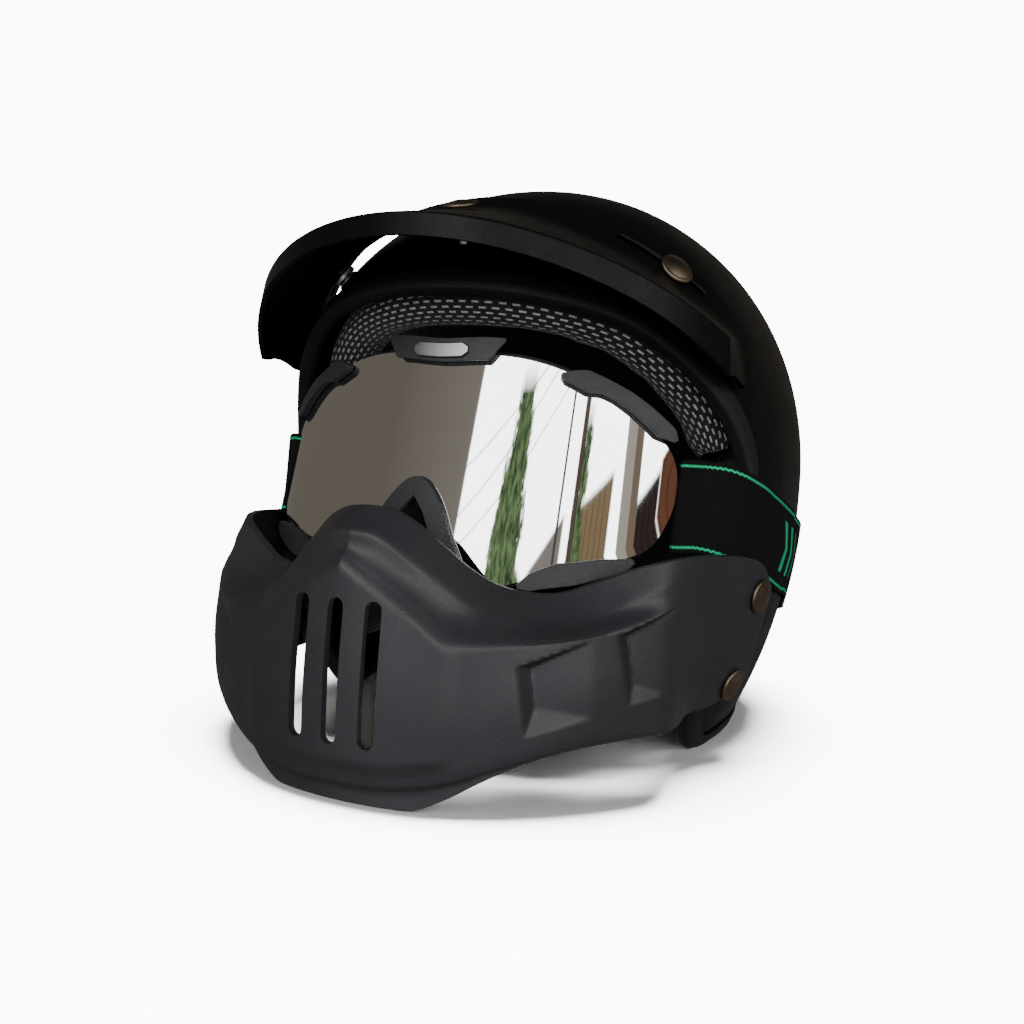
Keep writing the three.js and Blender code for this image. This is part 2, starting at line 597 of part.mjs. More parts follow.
function clip(from, to, section, steps) {
  return sweep((u, a, b) => besideLens(lerp(from, to, u), a, b), section, steps);
}
add('lens_clip_top', clip(-0.052, 0.052, rectangle(-3, 7, 0.35, 3.4), 6), GOGGLE_PLASTIC);
add('badge_plate', clip(-0.02, 0.02, rectangle(-1, 5, 3.7, 4.6), 4), SILVER);
add('nose_cover', clip(0.41, 0.59, rectangle(-4, 4, 0.35, 3.4), 16), GOGGLE_PLASTIC);
for (const [name, side] of [['left', 1], ['right', -1]]) {
  const span = (from, to) => (side > 0 ? [from, to] : [-to, -from]);
  const section = rectangle(-4, 5, 0.35, 3.4);
  add(`lens_clip_upper_${name}`, clip(...span(0.105, 0.19), section, 8), GOGGLE_PLASTIC);
  add(`lens_clip_lower_${name}`, clip(...span(0.30, 0.37), section, 6), GOGGLE_PLASTIC);
}

// ---------------------------------------------------------------- goggle strap

const strapElevation = curveThrough(STRAP_LINE);
const strapLift = (azimuth) => 0.7 + 1.5 * (1 - smoothstep(azimuth, 67, 75));

// The strap on the shell: a is mm above its centre line, b is its own thickness.
function strapOnShell(side, azimuth, a, b) {
  const near = Math.min(azimuth, 360 - azimuth);
  const reach = (SHELL.halfWidth + SHELL.rear) / 2;
  const rise = THREE.MathUtils.radToDeg(a / reach) * (azimuth < 90 ? 1.06 : 1);
  return onShell(direction(side * azimuth, strapElevation(near) + rise), strapLift(near) + b);
}

const OUTRIGGER = { from: 50.5, to: 55.5, low: 93, high: 129, outer: -1, inner: -8 };
const byAngle = (side, angle, z, lift) => lensPoint(side * LENS.radius * Math.sin(radians(angle)), z, lift);
const acrossStrap = [-0.5, -0.25, 0, 0.25, 0.5].map((fraction) => fraction * STRAP.width);
const strapSection = [
  ...acrossStrap.map((a) => [a, 0]),
  ...[...acrossStrap].reverse().map((a) => [a, STRAP.thickness]),
];
// The part of the front length that is held by the outrigger.
const HELD = 0.2;

for (const [name, side] of [['left', 1], ['right', -1]]) {
  const { from, to, low, high, outer, inner } = OUTRIGGER;
  const face = (lift) => (u, v) => byAngle(side, lerp(from, to, u), lerp(low, high, v), lift);
  add(`outrigger_${name}`, slab(face(outer), face(inner), 2, 3), GOGGLE_PLASTIC);
  const front = (u, a, b) => {
    const free = Math.max(u - HELD, 0) / (1 - HELD);
    const azimuth = lerp(STRAP.frontAzimuth + 3, STRAP.jointAzimuth, free);
    const wrapped = strapOnShell(side, azimuth, a, b);
    const held = byAngle(side, to + 0.6, (low + high) / 2 + a * 0.92, -5.5 + b);
    return u < HELD ? held.lerp(wrapped, u / HELD) : wrapped;
  };
  add(`goggle_strap_${name}`, sweep(front, strapSection, 10), ELASTIC);
}

function rearPlace(u, a, b) {
  return strapOnShell(1, lerp(STRAP.jointAzimuth + 0.5, 359.5 - STRAP.jointAzimuth, u), a, b);
}
add('goggle_strap_rear', sweep(rearPlace, strapSection, 32), ELASTIC);
for (const [name, azimuth] of [['left', 120], ['right', 240]]) {
  const face = (lift) => (u, v) => strapOnShell(1, azimuth + lerp(-3, 3, u), lerp(-22.5, 22.5, v), lift);
  const slider = slab(face(STRAP.thickness + 2), face(STRAP.thickness + 0.4), 2, 4);
  add(`strap_slider_${name}`, slider, GOGGLE_PLASTIC);
}

// ---------------------------------------------------------------- chin strap and buckle

// A webbing along points, its width turning from one direction to another.
function webbing(points, startWidth, endWidth) {
  const curve = new THREE.CatmullRomCurve3(points.map(([x, y, z]) => vec(x, y, z)), false, 'centripetal');
  const half = CHIN_STRAP.width / 2;
  const place = (u, a, b) => {
    const tangent = curve.getTangent(u);
    const width = startWidth.clone().lerp(endWidth, u);
    width.addScaledVector(tangent, -width.dot(tangent)).normalize();
    const normal = tangent.clone().cross(width);
    return curve.getPoint(u).addScaledVector(width, a).addScaledVector(normal, b);
  };
  return sweep(place, rectangle(-half, half, -CHIN_STRAP.thickness / 2, CHIN_STRAP.thickness / 2), 14);
}

const ANCHOR = { azimuth: 112, z: 62 };
for (const [name, side] of [['left', 1], ['right', -1]]) {
  const azimuth = (u) => side * (ANCHOR.azimuth + lerp(-4, 4, u));
  const face = (lift) => (u, v) => onShellAtHeight(azimuth(u), ANCHOR.z + lerp(-8, 8, v), lift);
  add(`chin_anchor_${name}`, slab(face(-5.4), face(-7), 3, 3), STEEL);
}
const anchorPoint = onShellAtHeight(ANCHOR.azimuth, ANCHOR.z, -9.4);
const anchorWidth = vec(-Math.cos(radians(ANCHOR.azimuth - 90)) * 0.4, 1, 0).normalize();
const { x: bx, y: by, z: bz } = BUCKLE;
const bodyEnd = bx + BUCKLE.length / 2 + 1;
const shortStrap = [
  anchorPoint.toArray(), [98, 38, 42], [89, 29, 23], [76, 16, 12], [67, 10.5, 10.2], [bodyEnd, by, bz],
];
add('chin_strap_left', webbing(shortStrap, anchorWidth, vec(0, 1, 0)), WEBBING);
const TONGUE = { width: 14, thickness: 2.2, start: -33 };
const tongueEnd = bx + TONGUE.start - 0.4;
const longStrap = [
  [tongueEnd, by, bz - 1.8], [-30, by, 9], [-62, 12, 10], [-76, 16, 12], [-89, 29, 23], [-98, 38, 42],
  [-anchorPoint.x, anchorPoint.y, anchorPoint.z],
];
add('chin_strap_right', webbing(longStrap, vec(0, 1, 0), vec(-anchorWidth.x, anchorWidth.y, 0)), WEBBING);

const buckle = new THREE.Group();
buckle.position.set(bx, by, bz);
helmet.add(buckle);
const PIN = { x: 4, z: 2.4, radius: 1.5, clearance: 0.08 };
const acrossPin = (geometry) => geometry.translate(PIN.x, 0, PIN.z);
const pinHole = (length) => acrossPin(rod(PIN.radius + PIN.clearance, length, 16));
const channel = box(32, TONGUE.width + 1, 3.4).translate(-5, 0, -1.6);
const pocket = box(30.5, 19, 6).translate(-5.75, 0, 3);
const bodyBlock = box(BUCKLE.length, BUCKLE.width, BUCKLE.height);
const springRing = turned([[1.75, 7], [2.15, 7], [2.15, 9], [1.75, 9], [1.75, 7]], 12);
const pieces = {
  buckle_body: [cut(bodyBlock, channel, pocket, pinHole(BUCKLE.width + 4)), BUCKLE_PLASTIC],
  lever_pin: [acrossPin(rod(PIN.radius, BUCKLE.width - 1, 16)), STEEL],
  lever_spring: [acrossPin(springRing.rotateX(-Math.PI / 2)), STEEL],
};
const knuckle = acrossPin(rod(2.3, 13, 16));
const plate = box(23, 17, 2.4).translate(-11.5, 0, PIN.z + 0.3);
const neck = box(4, 13, 2.4).translate(1.5, 0, PIN.z + 0.3);
pieces.buckle_lever = [cut(join(knuckle, neck, plate), pinHole(40)), BUCKLE_PLASTIC];
const tooth = [[0, 0.7], [2, 0]];
const lastTooth = 9;
const underside = [[TONGUE.start, -TONGUE.thickness], [lastTooth, -TONGUE.thickness], [lastTooth, 0]];
const outline = new THREE.Shape(underside.map(([x, z]) => new THREE.Vector2(x, z)));
for (let x = lastTooth; x > -lastTooth; x -= 2) {
  for (const [back, rise] of tooth) outline.lineTo(x - back - 0.01, rise);
}
outline.lineTo(TONGUE.start, 0);
const tongue = new THREE.ExtrudeGeometry(outline, { depth: TONGUE.width, bevelEnabled: false });
tongue.translate(0, 0, -TONGUE.width / 2).rotateX(Math.PI / 2).translate(0, 0, -0.9);
pieces.buckle_tongue = [fromGeometry(tongue), STEEL];
for (const [name, [geometry, look]] of Object.entries(pieces)) {
  buckle.add(add(name, geometry, look));
}

helmet.position.y = MIDDLE_Y;

export default helmet;
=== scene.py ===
# Open face motorcycle helmet: the looks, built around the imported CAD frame, which is in metres.
# The shapes are worked out in millimetres in the designer's axes and turned into the frame's by place().

import bmesh
import bpy
import numpy as np
from mathutils import Matrix, Vector


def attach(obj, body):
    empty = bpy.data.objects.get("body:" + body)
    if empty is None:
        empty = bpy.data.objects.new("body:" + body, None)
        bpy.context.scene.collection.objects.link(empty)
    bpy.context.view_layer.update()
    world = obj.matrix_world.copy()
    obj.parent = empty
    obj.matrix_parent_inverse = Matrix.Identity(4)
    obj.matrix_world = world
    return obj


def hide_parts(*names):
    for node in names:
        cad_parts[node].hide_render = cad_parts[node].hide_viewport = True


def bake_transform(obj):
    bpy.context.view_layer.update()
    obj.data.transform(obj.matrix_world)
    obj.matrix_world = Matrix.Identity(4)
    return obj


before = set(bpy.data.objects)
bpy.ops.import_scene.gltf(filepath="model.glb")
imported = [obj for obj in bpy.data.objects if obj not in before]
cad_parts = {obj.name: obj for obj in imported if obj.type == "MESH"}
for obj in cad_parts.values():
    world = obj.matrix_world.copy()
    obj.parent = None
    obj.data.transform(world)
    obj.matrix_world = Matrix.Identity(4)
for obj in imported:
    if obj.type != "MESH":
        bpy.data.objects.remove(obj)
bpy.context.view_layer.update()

# ---- driving dimensions, in millimetres

MM = 0.001
SIDES = (("left", 1), ("right", -1))
MIDDLE_Y = 15.98
CENTRE = np.array([0.0, 0.0, 120.5])
SHELL = dict(half_width=122.6, front=143.6, rear=150.8, crown=135.0, skirt=182.0, power=2.08, wall=4.0)
BROW_EDGE = [(0, 31), (20, 30), (38, 26.6), (51, 19.3), (59.7, 11.4), (64.6, 2), (63.6, -9), (61, -20),
             (59.5, -32), (60.5, -41)]
BOTTOM_AZIMUTHS = [70, 84, 98, 116, 136, 158, 180]
BOTTOM_Z = 2.0
TRIM = dict(lip=7.0, gap=0.4, web=2.4, over=1.6)

BAND_LIFT = 4.4
PEAK_WALL = 2.2
MASK_WALL = 3.0
PEAK_SNAPS = {"left": (47, 203), "right": (-47, 203)}
CENTRE_SNAP = dict(y=-110.5, z=226.6, tilt=20)
MASK_SNAPS = {f"{level}_{name}": (side * azimuth, z) for name, side in SIDES
              for level, azimuth, z in (("upper", 68, 75), ("lower", 66.5, 37))}

MASK = dict(half_width=122.0, depth=134.0, centre_y=-47.0, last_angle=94.0)
MASK_TOP = [(0, 106), (5, 105), (10, 101), (16, 93), (21, 86), (27, 80), (34, 77), (41, 77.5), (47, 82),
            (54, 88), (62, 92), (74, 92.5), (86, 90), (94, 82)]
MASK_LIP = [(0, 97), (5, 96), (10, 90), (16, 81.5), (21, 75), (27, 71), (34, 69), (41, 70), (50, 76), (60, 84),
            (74, 87), (86, 85), (94, 78)]
MASK_RIDGE = [(0, 87.5), (7.5, 79), (13, 71.5), (19.6, 62), (28, 62.5), (37, 64), (44, 66.5), (52, 70),
              (62, 73), (76, 74), (94, 68)]
MASK_HEM = [(0, 7.8), (7, 7.8), (13, 9), (20, 12), (29, 18), (38, 24), (46, 27), (54, 28.8), (66, 28.8),
            (82, 30), (94, 38)]
MASK_FLANGE = [(0, 0), (12, 0), (15, 0.6), (20, 5), (27, 13), (34, 19.5), (43, 24.5), (54, 27.4), (66, 27.6),
               (82, 28.8), (94, 36.8)]
MASK_TOP_INSET = [(0, 15), (10, 17), (21, 21), (34, 25), (45, 18), (55, 9), (66, 1.5), (74, 0.4), (94, 0.4)]
MASK_LIP_INSET = [(0, 4), (10, 6), (21, 11), (34, 15), (45, 10), (55, 4.5), (66, 0.6), (74, 0), (94, 0)]
MASK_FLANGE_INSET = [(0, 6), (34, 5.5), (48, 3), (60, 0.6), (70, 0), (94, 0)]
SLOT = dict(width=6.2, spacing=14.7, bottom=22.0, top=74.0)

PEAK_REAR = [(0, 52.5), (12, 51.2), (23, 49.6), (33, 47), (42, 43.8), (50, 39.8), (57.5, 35.2), (63.8, 28),
             (61.8, 18.2)]
PEAK_LEAVE = [(0, 47), (10, 46.3), (20, 44.2), (30, 41), (39.5, 37), (48, 32.5), (55, 28.5), (59.5, 25),
              (59.3, 17)]
PEAK_CENTRE_LIFT = 0.4
PEAK_CENTRE_SPREAD = 0.3
PEAK_CREASE = dict(half_width=122.3, base_y=-51.2, reach=108.1, base_z=157.3, rise=57.6, power=1.15,
                   last_angle=65.5)
# At each end the crease turns down: where this starts across the peak, its fall and its step back.
PEAK_END = dict(start=0.875, fall=14.2, back=4.0)
PEAK_LIP_DROP = [(0, 9), (0.6, 10.5), (0.875, 15)]
PEAK_CORNERS = {1: 0.3, 2: 0.05}
PEAK_TIP = dict(low=0.03, low_from=2.0, high=0.03, high_from=0.6)
PEAK_SLOT = dict(forward=26.0, back=14.0, width=4.2)

LENS = dict(radius=125.0, top_y=-117.0, top_z=165.0, lean=0.245, wall=1.6)
LENS_OUTLINE = [(0, 165.5), (22, 166.5), (40, 164.4), (57, 158.6), (77, 146), (90, 131), (93, 117), (91, 103),
                (86, 93.5), (67, 85.5), (52, 81.5), (36, 76.5), (25, 78.5), (16, 90), (7, 106.5), (0, 113)]
LENS_CENTRE_Z = 138.0
FRAME_DEPTH = 12.0
FOAM_DEPTH = 12.0

STRAP = dict(width=40.0, thickness=1.6, front=57.5, joint=76.0)
STRAP_LINE = [(57, -5), (74, -10), (85, -13.3), (100, -16.5), (140, -21), (180, -22.5)]
OUTRIGGER = dict(start=50.5, end=55.5, low=93.0, high=129.0, outer=-1.0, inner=-8.0)

# ---- curves and surfaces


def unit(v):
    return v / np.linalg.norm(v, axis=-1, keepdims=True)


def smoothstep(x, low, high):
    t = np.clip((np.asarray(x, float) - low) / (high - low), 0, 1)
    return t * t * (3 - 2 * t)


def mix(a, b, t):
    return a * (1 - t) + b * t


def hermite(t, a, b, slope_a, slope_b):
    """From a to b as t goes from 0 to 1, leaving a and reaching b with the given slopes."""
    return ((2 * t**3 - 3 * t**2 + 1) * a + (t**3 - 2 * t**2 + t) * slope_a
            + (3 * t**2 - 2 * t**3) * b + (t**3 - t**2) * slope_b)


def arc(q, start, corner, end):
    """A corner rounded off, from start to end as q goes from 0 to 1."""
    return (1 - q) ** 2 * start + 2 * q * (1 - q) * corner + q**2 * end


def quarter(x):
    """How far a quarter circle has dropped at a share x of its radius."""
    return 1 - np.sqrt(1 - x**2)


def length_along(points):
    return np.concatenate([[0], np.cumsum(np.linalg.norm(np.diff(points, axis=0), axis=1))])


def curve_through(points):
    """A smooth function through (x, y) points, with Catmull-Rom slopes."""
    xs, ys = np.array(points, float).T
    before = np.maximum(np.arange(len(xs)) - 1, 0)
    after = np.minimum(np.arange(len(xs)) + 1, len(xs) - 1)
    slopes = (ys[after] - ys[before]) / (xs[after] - xs[before])

    def value(x):
        i = np.clip(np.searchsorted(xs, x, side="left") - 1, 0, len(xs) - 2)
        h = xs[i + 1] - xs[i]
        return hermite(np.clip((x - xs[i]) / h, 0, 1), ys[i], ys[i + 1], h * slopes[i], h * slopes[i + 1])

    return value


def centripetal(a, b, c, d, t):
    """A share t of the way from b to c on a centripetal Catmull-Rom curve."""
    t0, t1, t2 = (np.linalg.norm(y - x, axis=-1, keepdims=True) ** 0.5 for x, y in ((a, b), (b, c), (c, d)))
    leaving = ((b - a) / t0 - (c - a) / (t0 + t1) + (c - b) / t1) * t1
    reaching = ((c - b) / t1 - (d - b) / (t1 + t2) + (d - c) / t2) * t1
    return hermite(t, b, c, leaving, reaching)


def closed_curve(points, per_span=40):
    """A closed centripetal Catmull-Rom curve, as a function of the fraction of its length."""
    p = np.array(points, float)
    t = np.linspace(0, 1, per_span, endpoint=False)[:, None]
    track = np.vstack([centripetal(*np.roll(p, 1 - i, axis=0)[:4], t) for i in range(len(p))] + [p[:1]])
    length = length_along(track)

    def at(u):
        s = np.mod(u, 1) * length[-1]
        return np.stack([np.interp(s, length, column) for column in track.T], axis=-1)

    return at


def direction(azimuth, elevation):
    a, e = np.broadcast_arrays(np.radians(azimuth), np.radians(elevation))
    return np.stack([np.sin(a) * np.cos(e), -np.cos(a) * np.cos(e), np.sin(e)], axis=-1)


def on_shell(d, lift=0.0):
    """Where a direction from the centre meets the shell, moved out along the shell's normal."""
    axes = np.stack([np.full(d.shape[:-1], SHELL["half_width"]),
                     np.where(d[..., 1] < 0, SHELL["front"], SHELL["rear"]),
                     np.where(d[..., 2] > 0, SHELL["crown"], SHELL["skirt"])], axis=-1)
    n = SHELL["power"]
    p = d * (np.abs(d / axes) ** n).sum(-1, keepdims=True) ** (-1 / n)
    normal = unit(np.sign(p) * np.abs(p) ** (n - 1) / axes**n)
    return p + CENTRE + normal * np.asarray(lift, float)[..., None]


def on_shell_at_height(azimuth, z, lift=0.0):
    azimuth, z, lift = np.broadcast_arrays(*(np.asarray(v, float) for v in (azimuth, z, lift)))
    n = SHELL["power"]
    flat = direction(azimuth, 0.0 * azimuth)
    height = z - CENTRE[2]
    level = 1 - np.abs(height / np.where(height > 0, SHELL["crown"], SHELL["skirt"])) ** n
    depth = np.where(flat[..., 1] < 0, SHELL["front"], SHELL["rear"])
    across = np.abs(flat[..., 0] / SHELL["half_width"]) ** n + np.abs(flat[..., 1] / depth) ** n
    radius = (level / across) ** (1 / n)
    point = np.stack([flat[..., 0] * radius, flat[..., 1] * radius, height], axis=-1)
    return on_shell(unit(point), lift)


def edge_points(side):
    brow = [on_shell(direction(side * az, el)) for az, el in BROW_EDGE]
    return brow + [on_shell_at_height(side * az, BOTTOM_Z) for az in BOTTOM_AZIMUTHS]


edge_curve = closed_curve(edge_points(1) + edge_points(-1)[1:-1][::-1])
CROWN_POLE = direction(180.0, 51.5)


def towards_edge(u, v):
    """The direction a fraction v of the way along the great circle from the crown to the shell's edge."""
    end = unit(edge_curve(u) - CENTRE)
    angle = np.arccos(end @ CROWN_POLE)[..., None]
    side = unit(end - CROWN_POLE * np.cos(angle))
    v = np.asarray(v, float)[..., None]
    return CROWN_POLE * np.cos(angle * v) + side * np.sin(angle * v)


def at_edge(u, past, lift):
    """A point past the shell's edge, measured along its surface, at a lift off it."""
    end = unit(edge_curve(u) - CENTRE)
    angle = np.arccos(end @ CROWN_POLE)
    reach = np.linalg.norm(on_shell(end) - CENTRE, axis=-1)
    return on_shell(towards_edge(u, 1 + past / (reach * angle)), lift)


def grid(across, along, ring=False):
    u = np.linspace(0, 1, across, endpoint=not ring)
    return np.meshgrid(u, np.linspace(0, 1, along), indexing="ij")


def spread(u, section):
    """Grids of u, a and b for every step u and every point (a, b) of a section."""
    return np.broadcast_arrays(u[:, None], section[None, :, 0], section[None, :, 1])


# ---- meshes


def place(points):
    """Designer's millimetres to the frame's metres."""
    return (np.asarray(points, float).reshape(-1, 3) + (0, MIDDLE_Y, 0)) * MM


def link(name, data):
    """A new object in the scene."""
    obj = bpy.data.objects.new(name, data)
    bpy.context.scene.collection.objects.link(obj)
    return obj


def modify(obj, kind, **settings):
    modifier = obj.modifiers.new(kind.lower(), kind)
    for key, value in settings.items():
        setattr(modifier, key, value)
    return modifier


def evaluated(obj):
    bpy.context.view_layer.update()
    return obj.evaluated_get(bpy.context.evaluated_depsgraph_get())


def bake(obj):
    """Makes an object's mesh what its modifiers have made of it."""
    result = bpy.data.meshes.new_from_object(evaluated(obj))
    obj.modifiers.clear()
    obj.data = result
    return result


def lay_uv(mesh, uv):
    layer = mesh.uv_layers.new(name="UVMap")
    corners = np.empty(len(mesh.loops), dtype=np.int32)
    mesh.loops.foreach_get("vertex_index", corners)
    layer.data.foreach_set("uv", uv.reshape(-1, 2)[corners].ravel())


def finish_mesh(mesh, sharp, operation):
    """Merges a mesh's doubled points, puts it through one more bmesh operation, and shades it."""
    bm = bmesh.new()
    bm.from_mesh(mesh)
    bmesh.ops.remove_doubles(bm, verts=bm.verts, dist=1e-6)
    operation(bm)
    bm.to_mesh(mesh)
    bm.free()
    mesh.shade_smooth()
    mesh.set_sharp_from_angle(angle=np.radians(sharp))


def new_mesh(name, points, faces, uv=None, sharp=38):
    mesh = bpy.data.meshes.new(name)
    mesh.from_pydata(place(points).tolist(), [], faces)
    if uv is not None:
        lay_uv(mesh, uv)
    finish_mesh(mesh, sharp, lambda bm: bmesh.ops.recalc_face_normals(bm, faces=bm.faces))
    return link(name, mesh)


def cells_of(index):
    """The four corners of each cell of a grid of point numbers."""
    return np.stack([index[:-1, :-1], index[1:, :-1], index[1:, 1:], index[:-1, 1:]], axis=-1)


def wall(name, outer, inner, ring=False, keep=None, sharp=38):
    """A wall between two grids of points. Cells that keep leaves out become openings."""
    index = np.arange(outer[..., 0].size).reshape(outer.shape[:2])
    count = index.size
    cells = cells_of(np.vstack([index, index[:1]]) if ring else index)
    keep = np.ones(cells.shape[:2], bool) if keep is None else keep
    framed = np.pad(keep, 1)
    if ring:
        framed[0], framed[-1] = framed[-2], framed[1]
    beyond = [framed[1:-1, :-2], framed[2:, 1:-1], framed[1:-1, 2:], framed[:-2, 1:-1]]
    faces = [cells[keep], cells[keep][:, ::-1] + count]
    for side, neighbour in enumerate(beyond):
        a, b = cells[..., side], cells[..., (side + 1) % 4]
        faces.append(np.stack([b, a, a + count, b + count], axis=-1)[keep & ~neighbour])
    points = np.concatenate([outer.reshape(-1, 3), inner.reshape(-1, 3)])
    faces = np.concatenate(faces)
    used = np.unique(faces)
    renumber = np.zeros(len(points), int)
    renumber[used] = np.arange(len(used))
    return new_mesh(name, points[used], renumber[faces].tolist(), sharp=sharp)


def sweep(name, rings, closed=False, uv=None):
    """A section carried along a path. rings holds one closed section of points for each step."""
    index = np.arange(rings[..., 0].size).reshape(rings.shape[:2])
    around = np.concatenate([index, index[:, :1]], axis=1)
    if closed:
        around = np.vstack([around, around[:1]])
    faces = cells_of(around)[..., [0, 3, 2, 1]].reshape(-1, 4).tolist()
    if not closed:
        faces += [index[0][::-1].tolist(), index[-1].tolist()]
    return new_mesh(name, rings.reshape(-1, 3), faces, uv)


def turned(name, profile, origin, axis, sides=40):
    """A profile of (radius, height), turned about an axis. It ends on the axis or closes on itself."""
    profile = np.array(profile, float)
    around = np.linspace(0, 2 * np.pi, sides, endpoint=False)
    turn = Vector((0, 0, 1)).rotation_difference(Vector(axis)).to_matrix()
    local = np.stack([np.outer(np.cos(around), profile[:, 0]), np.outer(np.sin(around), profile[:, 0]),
                      np.outer(np.ones(sides), profile[:, 1])], axis=-1)
    points = local @ np.array(turn).T + origin
    index = np.arange(sides * len(profile)).reshape(sides, -1)
    faces = cells_of(np.vstack([index, index[:1]])).reshape(-1, 4).tolist()
    return new_mesh(name, points.reshape(-1, 3), [list(dict.fromkeys(f)) for f in faces], sharp=50)


def rounded(corners, radius, steps=4):
    """A closed outline of (a, b) corners, each rounded off."""
    corners = np.array(corners, float)
    outline = []
    for before, corner, after in zip(np.roll(corners, 1, axis=0), corners, np.roll(corners, -1, axis=0)):
        back, ahead = before - corner, after - corner
        half = np.arccos(np.clip(unit(back) @ unit(ahead), -1, 1)) / 2
        cut = min(radius / np.tan(half), 0.45 * min(np.linalg.norm(back), np.linalg.norm(ahead)))
        outline += [arc(t, corner + unit(back) * cut, corner, corner + unit(ahead) * cut)
                    for t in np.linspace(0, 1, steps + 1)]
    return np.array(outline)


def bevel(obj, width, segments=3, angle=40):
    modify(obj, "BEVEL", width=width * MM, segments=segments, limit_method="ANGLE",
           angle_limit=np.radians(angle))
    return obj


def settle(obj, body, slot, material, *nodes):
    """Gives a piece its body and its material, and hides the CAD nodes that it stands for. The slot argument is
    not used.
    """
    obj.data.materials.clear()
    obj.data.materials.append(material)
    if body:
        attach(obj, body)
    if nodes:
        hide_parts(*nodes)
    return obj


# ---- materials


class Shader:
    """A material of procedural nodes. Inputs are values or other nodes' sockets."""

    def __init__(self, name, **settings):
        self.material = bpy.data.materials.new(name)
        self.material.use_nodes = True
        self.tree = self.material.node_tree
        self.surface = self.tree.nodes["Principled BSDF"]
        self.set(**settings)

    def node(self, kind, inputs=None, **properties):
        made = self.tree.nodes.new(kind)
        for key, value in properties.items():
            setattr(made, key, value)
        for key, value in (inputs or {}).items():
            self.feed(made.inputs[key], value)
        return made

    def feed(self, socket, value):
        if isinstance(value, bpy.types.NodeSocket):
            self.tree.links.new(value, socket)
        elif hasattr(socket, "default_value"):
            wide = socket.type == "RGBA" and len(value) == 3
            socket.default_value = (*value, 1) if wide else value

    def set(self, **settings):
        for key, value in settings.items():
            self.feed(self.surface.inputs[key.replace("_", " ").title().replace("Ior", "IOR")], value)
        return self

    def coords(self, which="Object"):
        return self.node("ShaderNodeTexCoord").outputs[which]

    def noise(self, scale, detail=3.0, roughness=0.5, vector=None):
        inputs = {"Vector": vector or self.coords(), "Scale": scale, "Detail": detail, "Roughness": roughness}
        return self.node("ShaderNodeTexNoise", inputs).outputs["Fac"]

    def split(self, which):
        return self.node("ShaderNodeSeparateXYZ", {"Vector": self.coords(which)}).outputs[:]

    def maths(self, operation, a, b=0.0, c=0.0):
        return self.node("ShaderNodeMath", {0: a, 1: b, 2: c}, operation=operation).outputs[0]

    def times(self, a, b):
        return self.maths("MULTIPLY", a, b)

    def minus(self, a, b):
        return self.maths("SUBTRACT", a, b)

    def apart(self, a, b):
        return self.maths("ABSOLUTE", self.minus(a, b))

    def wave(self, value, pitch):
        return self.maths("SINE", self.times(value, 2 * np.pi / pitch))

    def remap(self, value, low, high, to_low, to_high):
        inputs = {"Value": value, "From Min": low, "From Max": high, "To Min": to_low, "To Max": to_high}
        return self.node("ShaderNodeMapRange", inputs).outputs["Result"]

    def rising(self, value, low, high):
        return self.remap(value, low, high, 0, 1)

    def falling(self, value, low, high):
        return self.remap(value, low, high, 1, 0)

    def blend(self, factor, a, b, kind="MIX"):
        made = self.node("ShaderNodeMix", {"Factor": factor}, data_type="RGBA", blend_type=kind)
        for name, value in (("A", a), ("B", b)):
            self.feed([s for s in made.inputs if s.name == name][-2], value)
        return [s for s in made.outputs if s.type == "RGBA"][0]

    def bump(self, height, strength, distance, normal=None):
        inputs = {"Height": height, "Strength": strength, "Distance": distance}
        if normal is not None:
            inputs["Normal"] = normal
        return self.node("ShaderNodeBump", inputs).outputs["Normal"]

    def cells(self, scale, feature="F1"):
        inputs = {"Vector": self.coords(), "Scale": scale}
        return self.node("ShaderNodeTexVoronoi", inputs, feature=feature).outputs["Distance"]


def grained(name, colours, mottle, contrast, patches, roughness, grain, bump, **settings):
    """A mottled colour, patchy roughness and fine grain. mottle, patches and grain are noises."""
    s = Shader(name, **settings)
    s.set(base_color=s.blend(s.rising(s.noise(*mottle), *contrast), *colours),
          roughness=s.remap(s.noise(*patches), 0.3, 0.7, *roughness), normal=s.bump(s.noise(*grain), *bump))
    return s.material


def matt_paint(name, colour, roughness, gloss):
    return grained(name, (colour, [c * 1.35 for c in colour]), (14, 2), (0.3, 0.7), (95, 6, 0.62),
                   (roughness - 0.05, roughness + 0.06), (1400, 2), (0.25, 0.00025), specular_ior_level=gloss)


def metal(name, colour, dark, roughness):
    return grained(name, (dark, colour), (70, 5, 0.6), (0.35, 0.65), (70, 5, 0.6),
                   (roughness - 0.06, roughness + 0.08), (900, 2), (0.12, 0.0002), metallic=1.0)


def moulded(name, colour, roughness):
    return grained(name, (colour, [c * 1.4 for c in colour]), (40, 3), (0, 1), (240, 3),
                   (roughness - 0.04, roughness + 0.05), (1700, 2), (0.35, 0.0003), specular_ior_level=0.3)


def bead_foam():
    s = Shader("bead_foam", roughness=0.85)
    gap = s.rising(s.cells(260.0, "DISTANCE_TO_EDGE"), 0.0, 0.12)
    s.set(base_color=s.blend(gap, (0.028, 0.028, 0.029), (0.05, 0.05, 0.053)), normal=s.bump(gap, 0.6, 0.0005))
    return s.material


def knit(name, colour, pale, pitch=620.0):
    s = Shader(name, roughness=0.9, sheen_weight=0.25, sheen_roughness=0.5)
    stitches = s.bump(s.minus(1.0, s.cells(pitch)), 0.7, 0.0006)
    s.set(base_color=s.blend(s.rising(s.noise(45, 3), 0.3, 0.7), colour, pale),
          normal=s.bump(s.noise(2600, 3), 0.35, 0.0003, stitches))
    return s.material


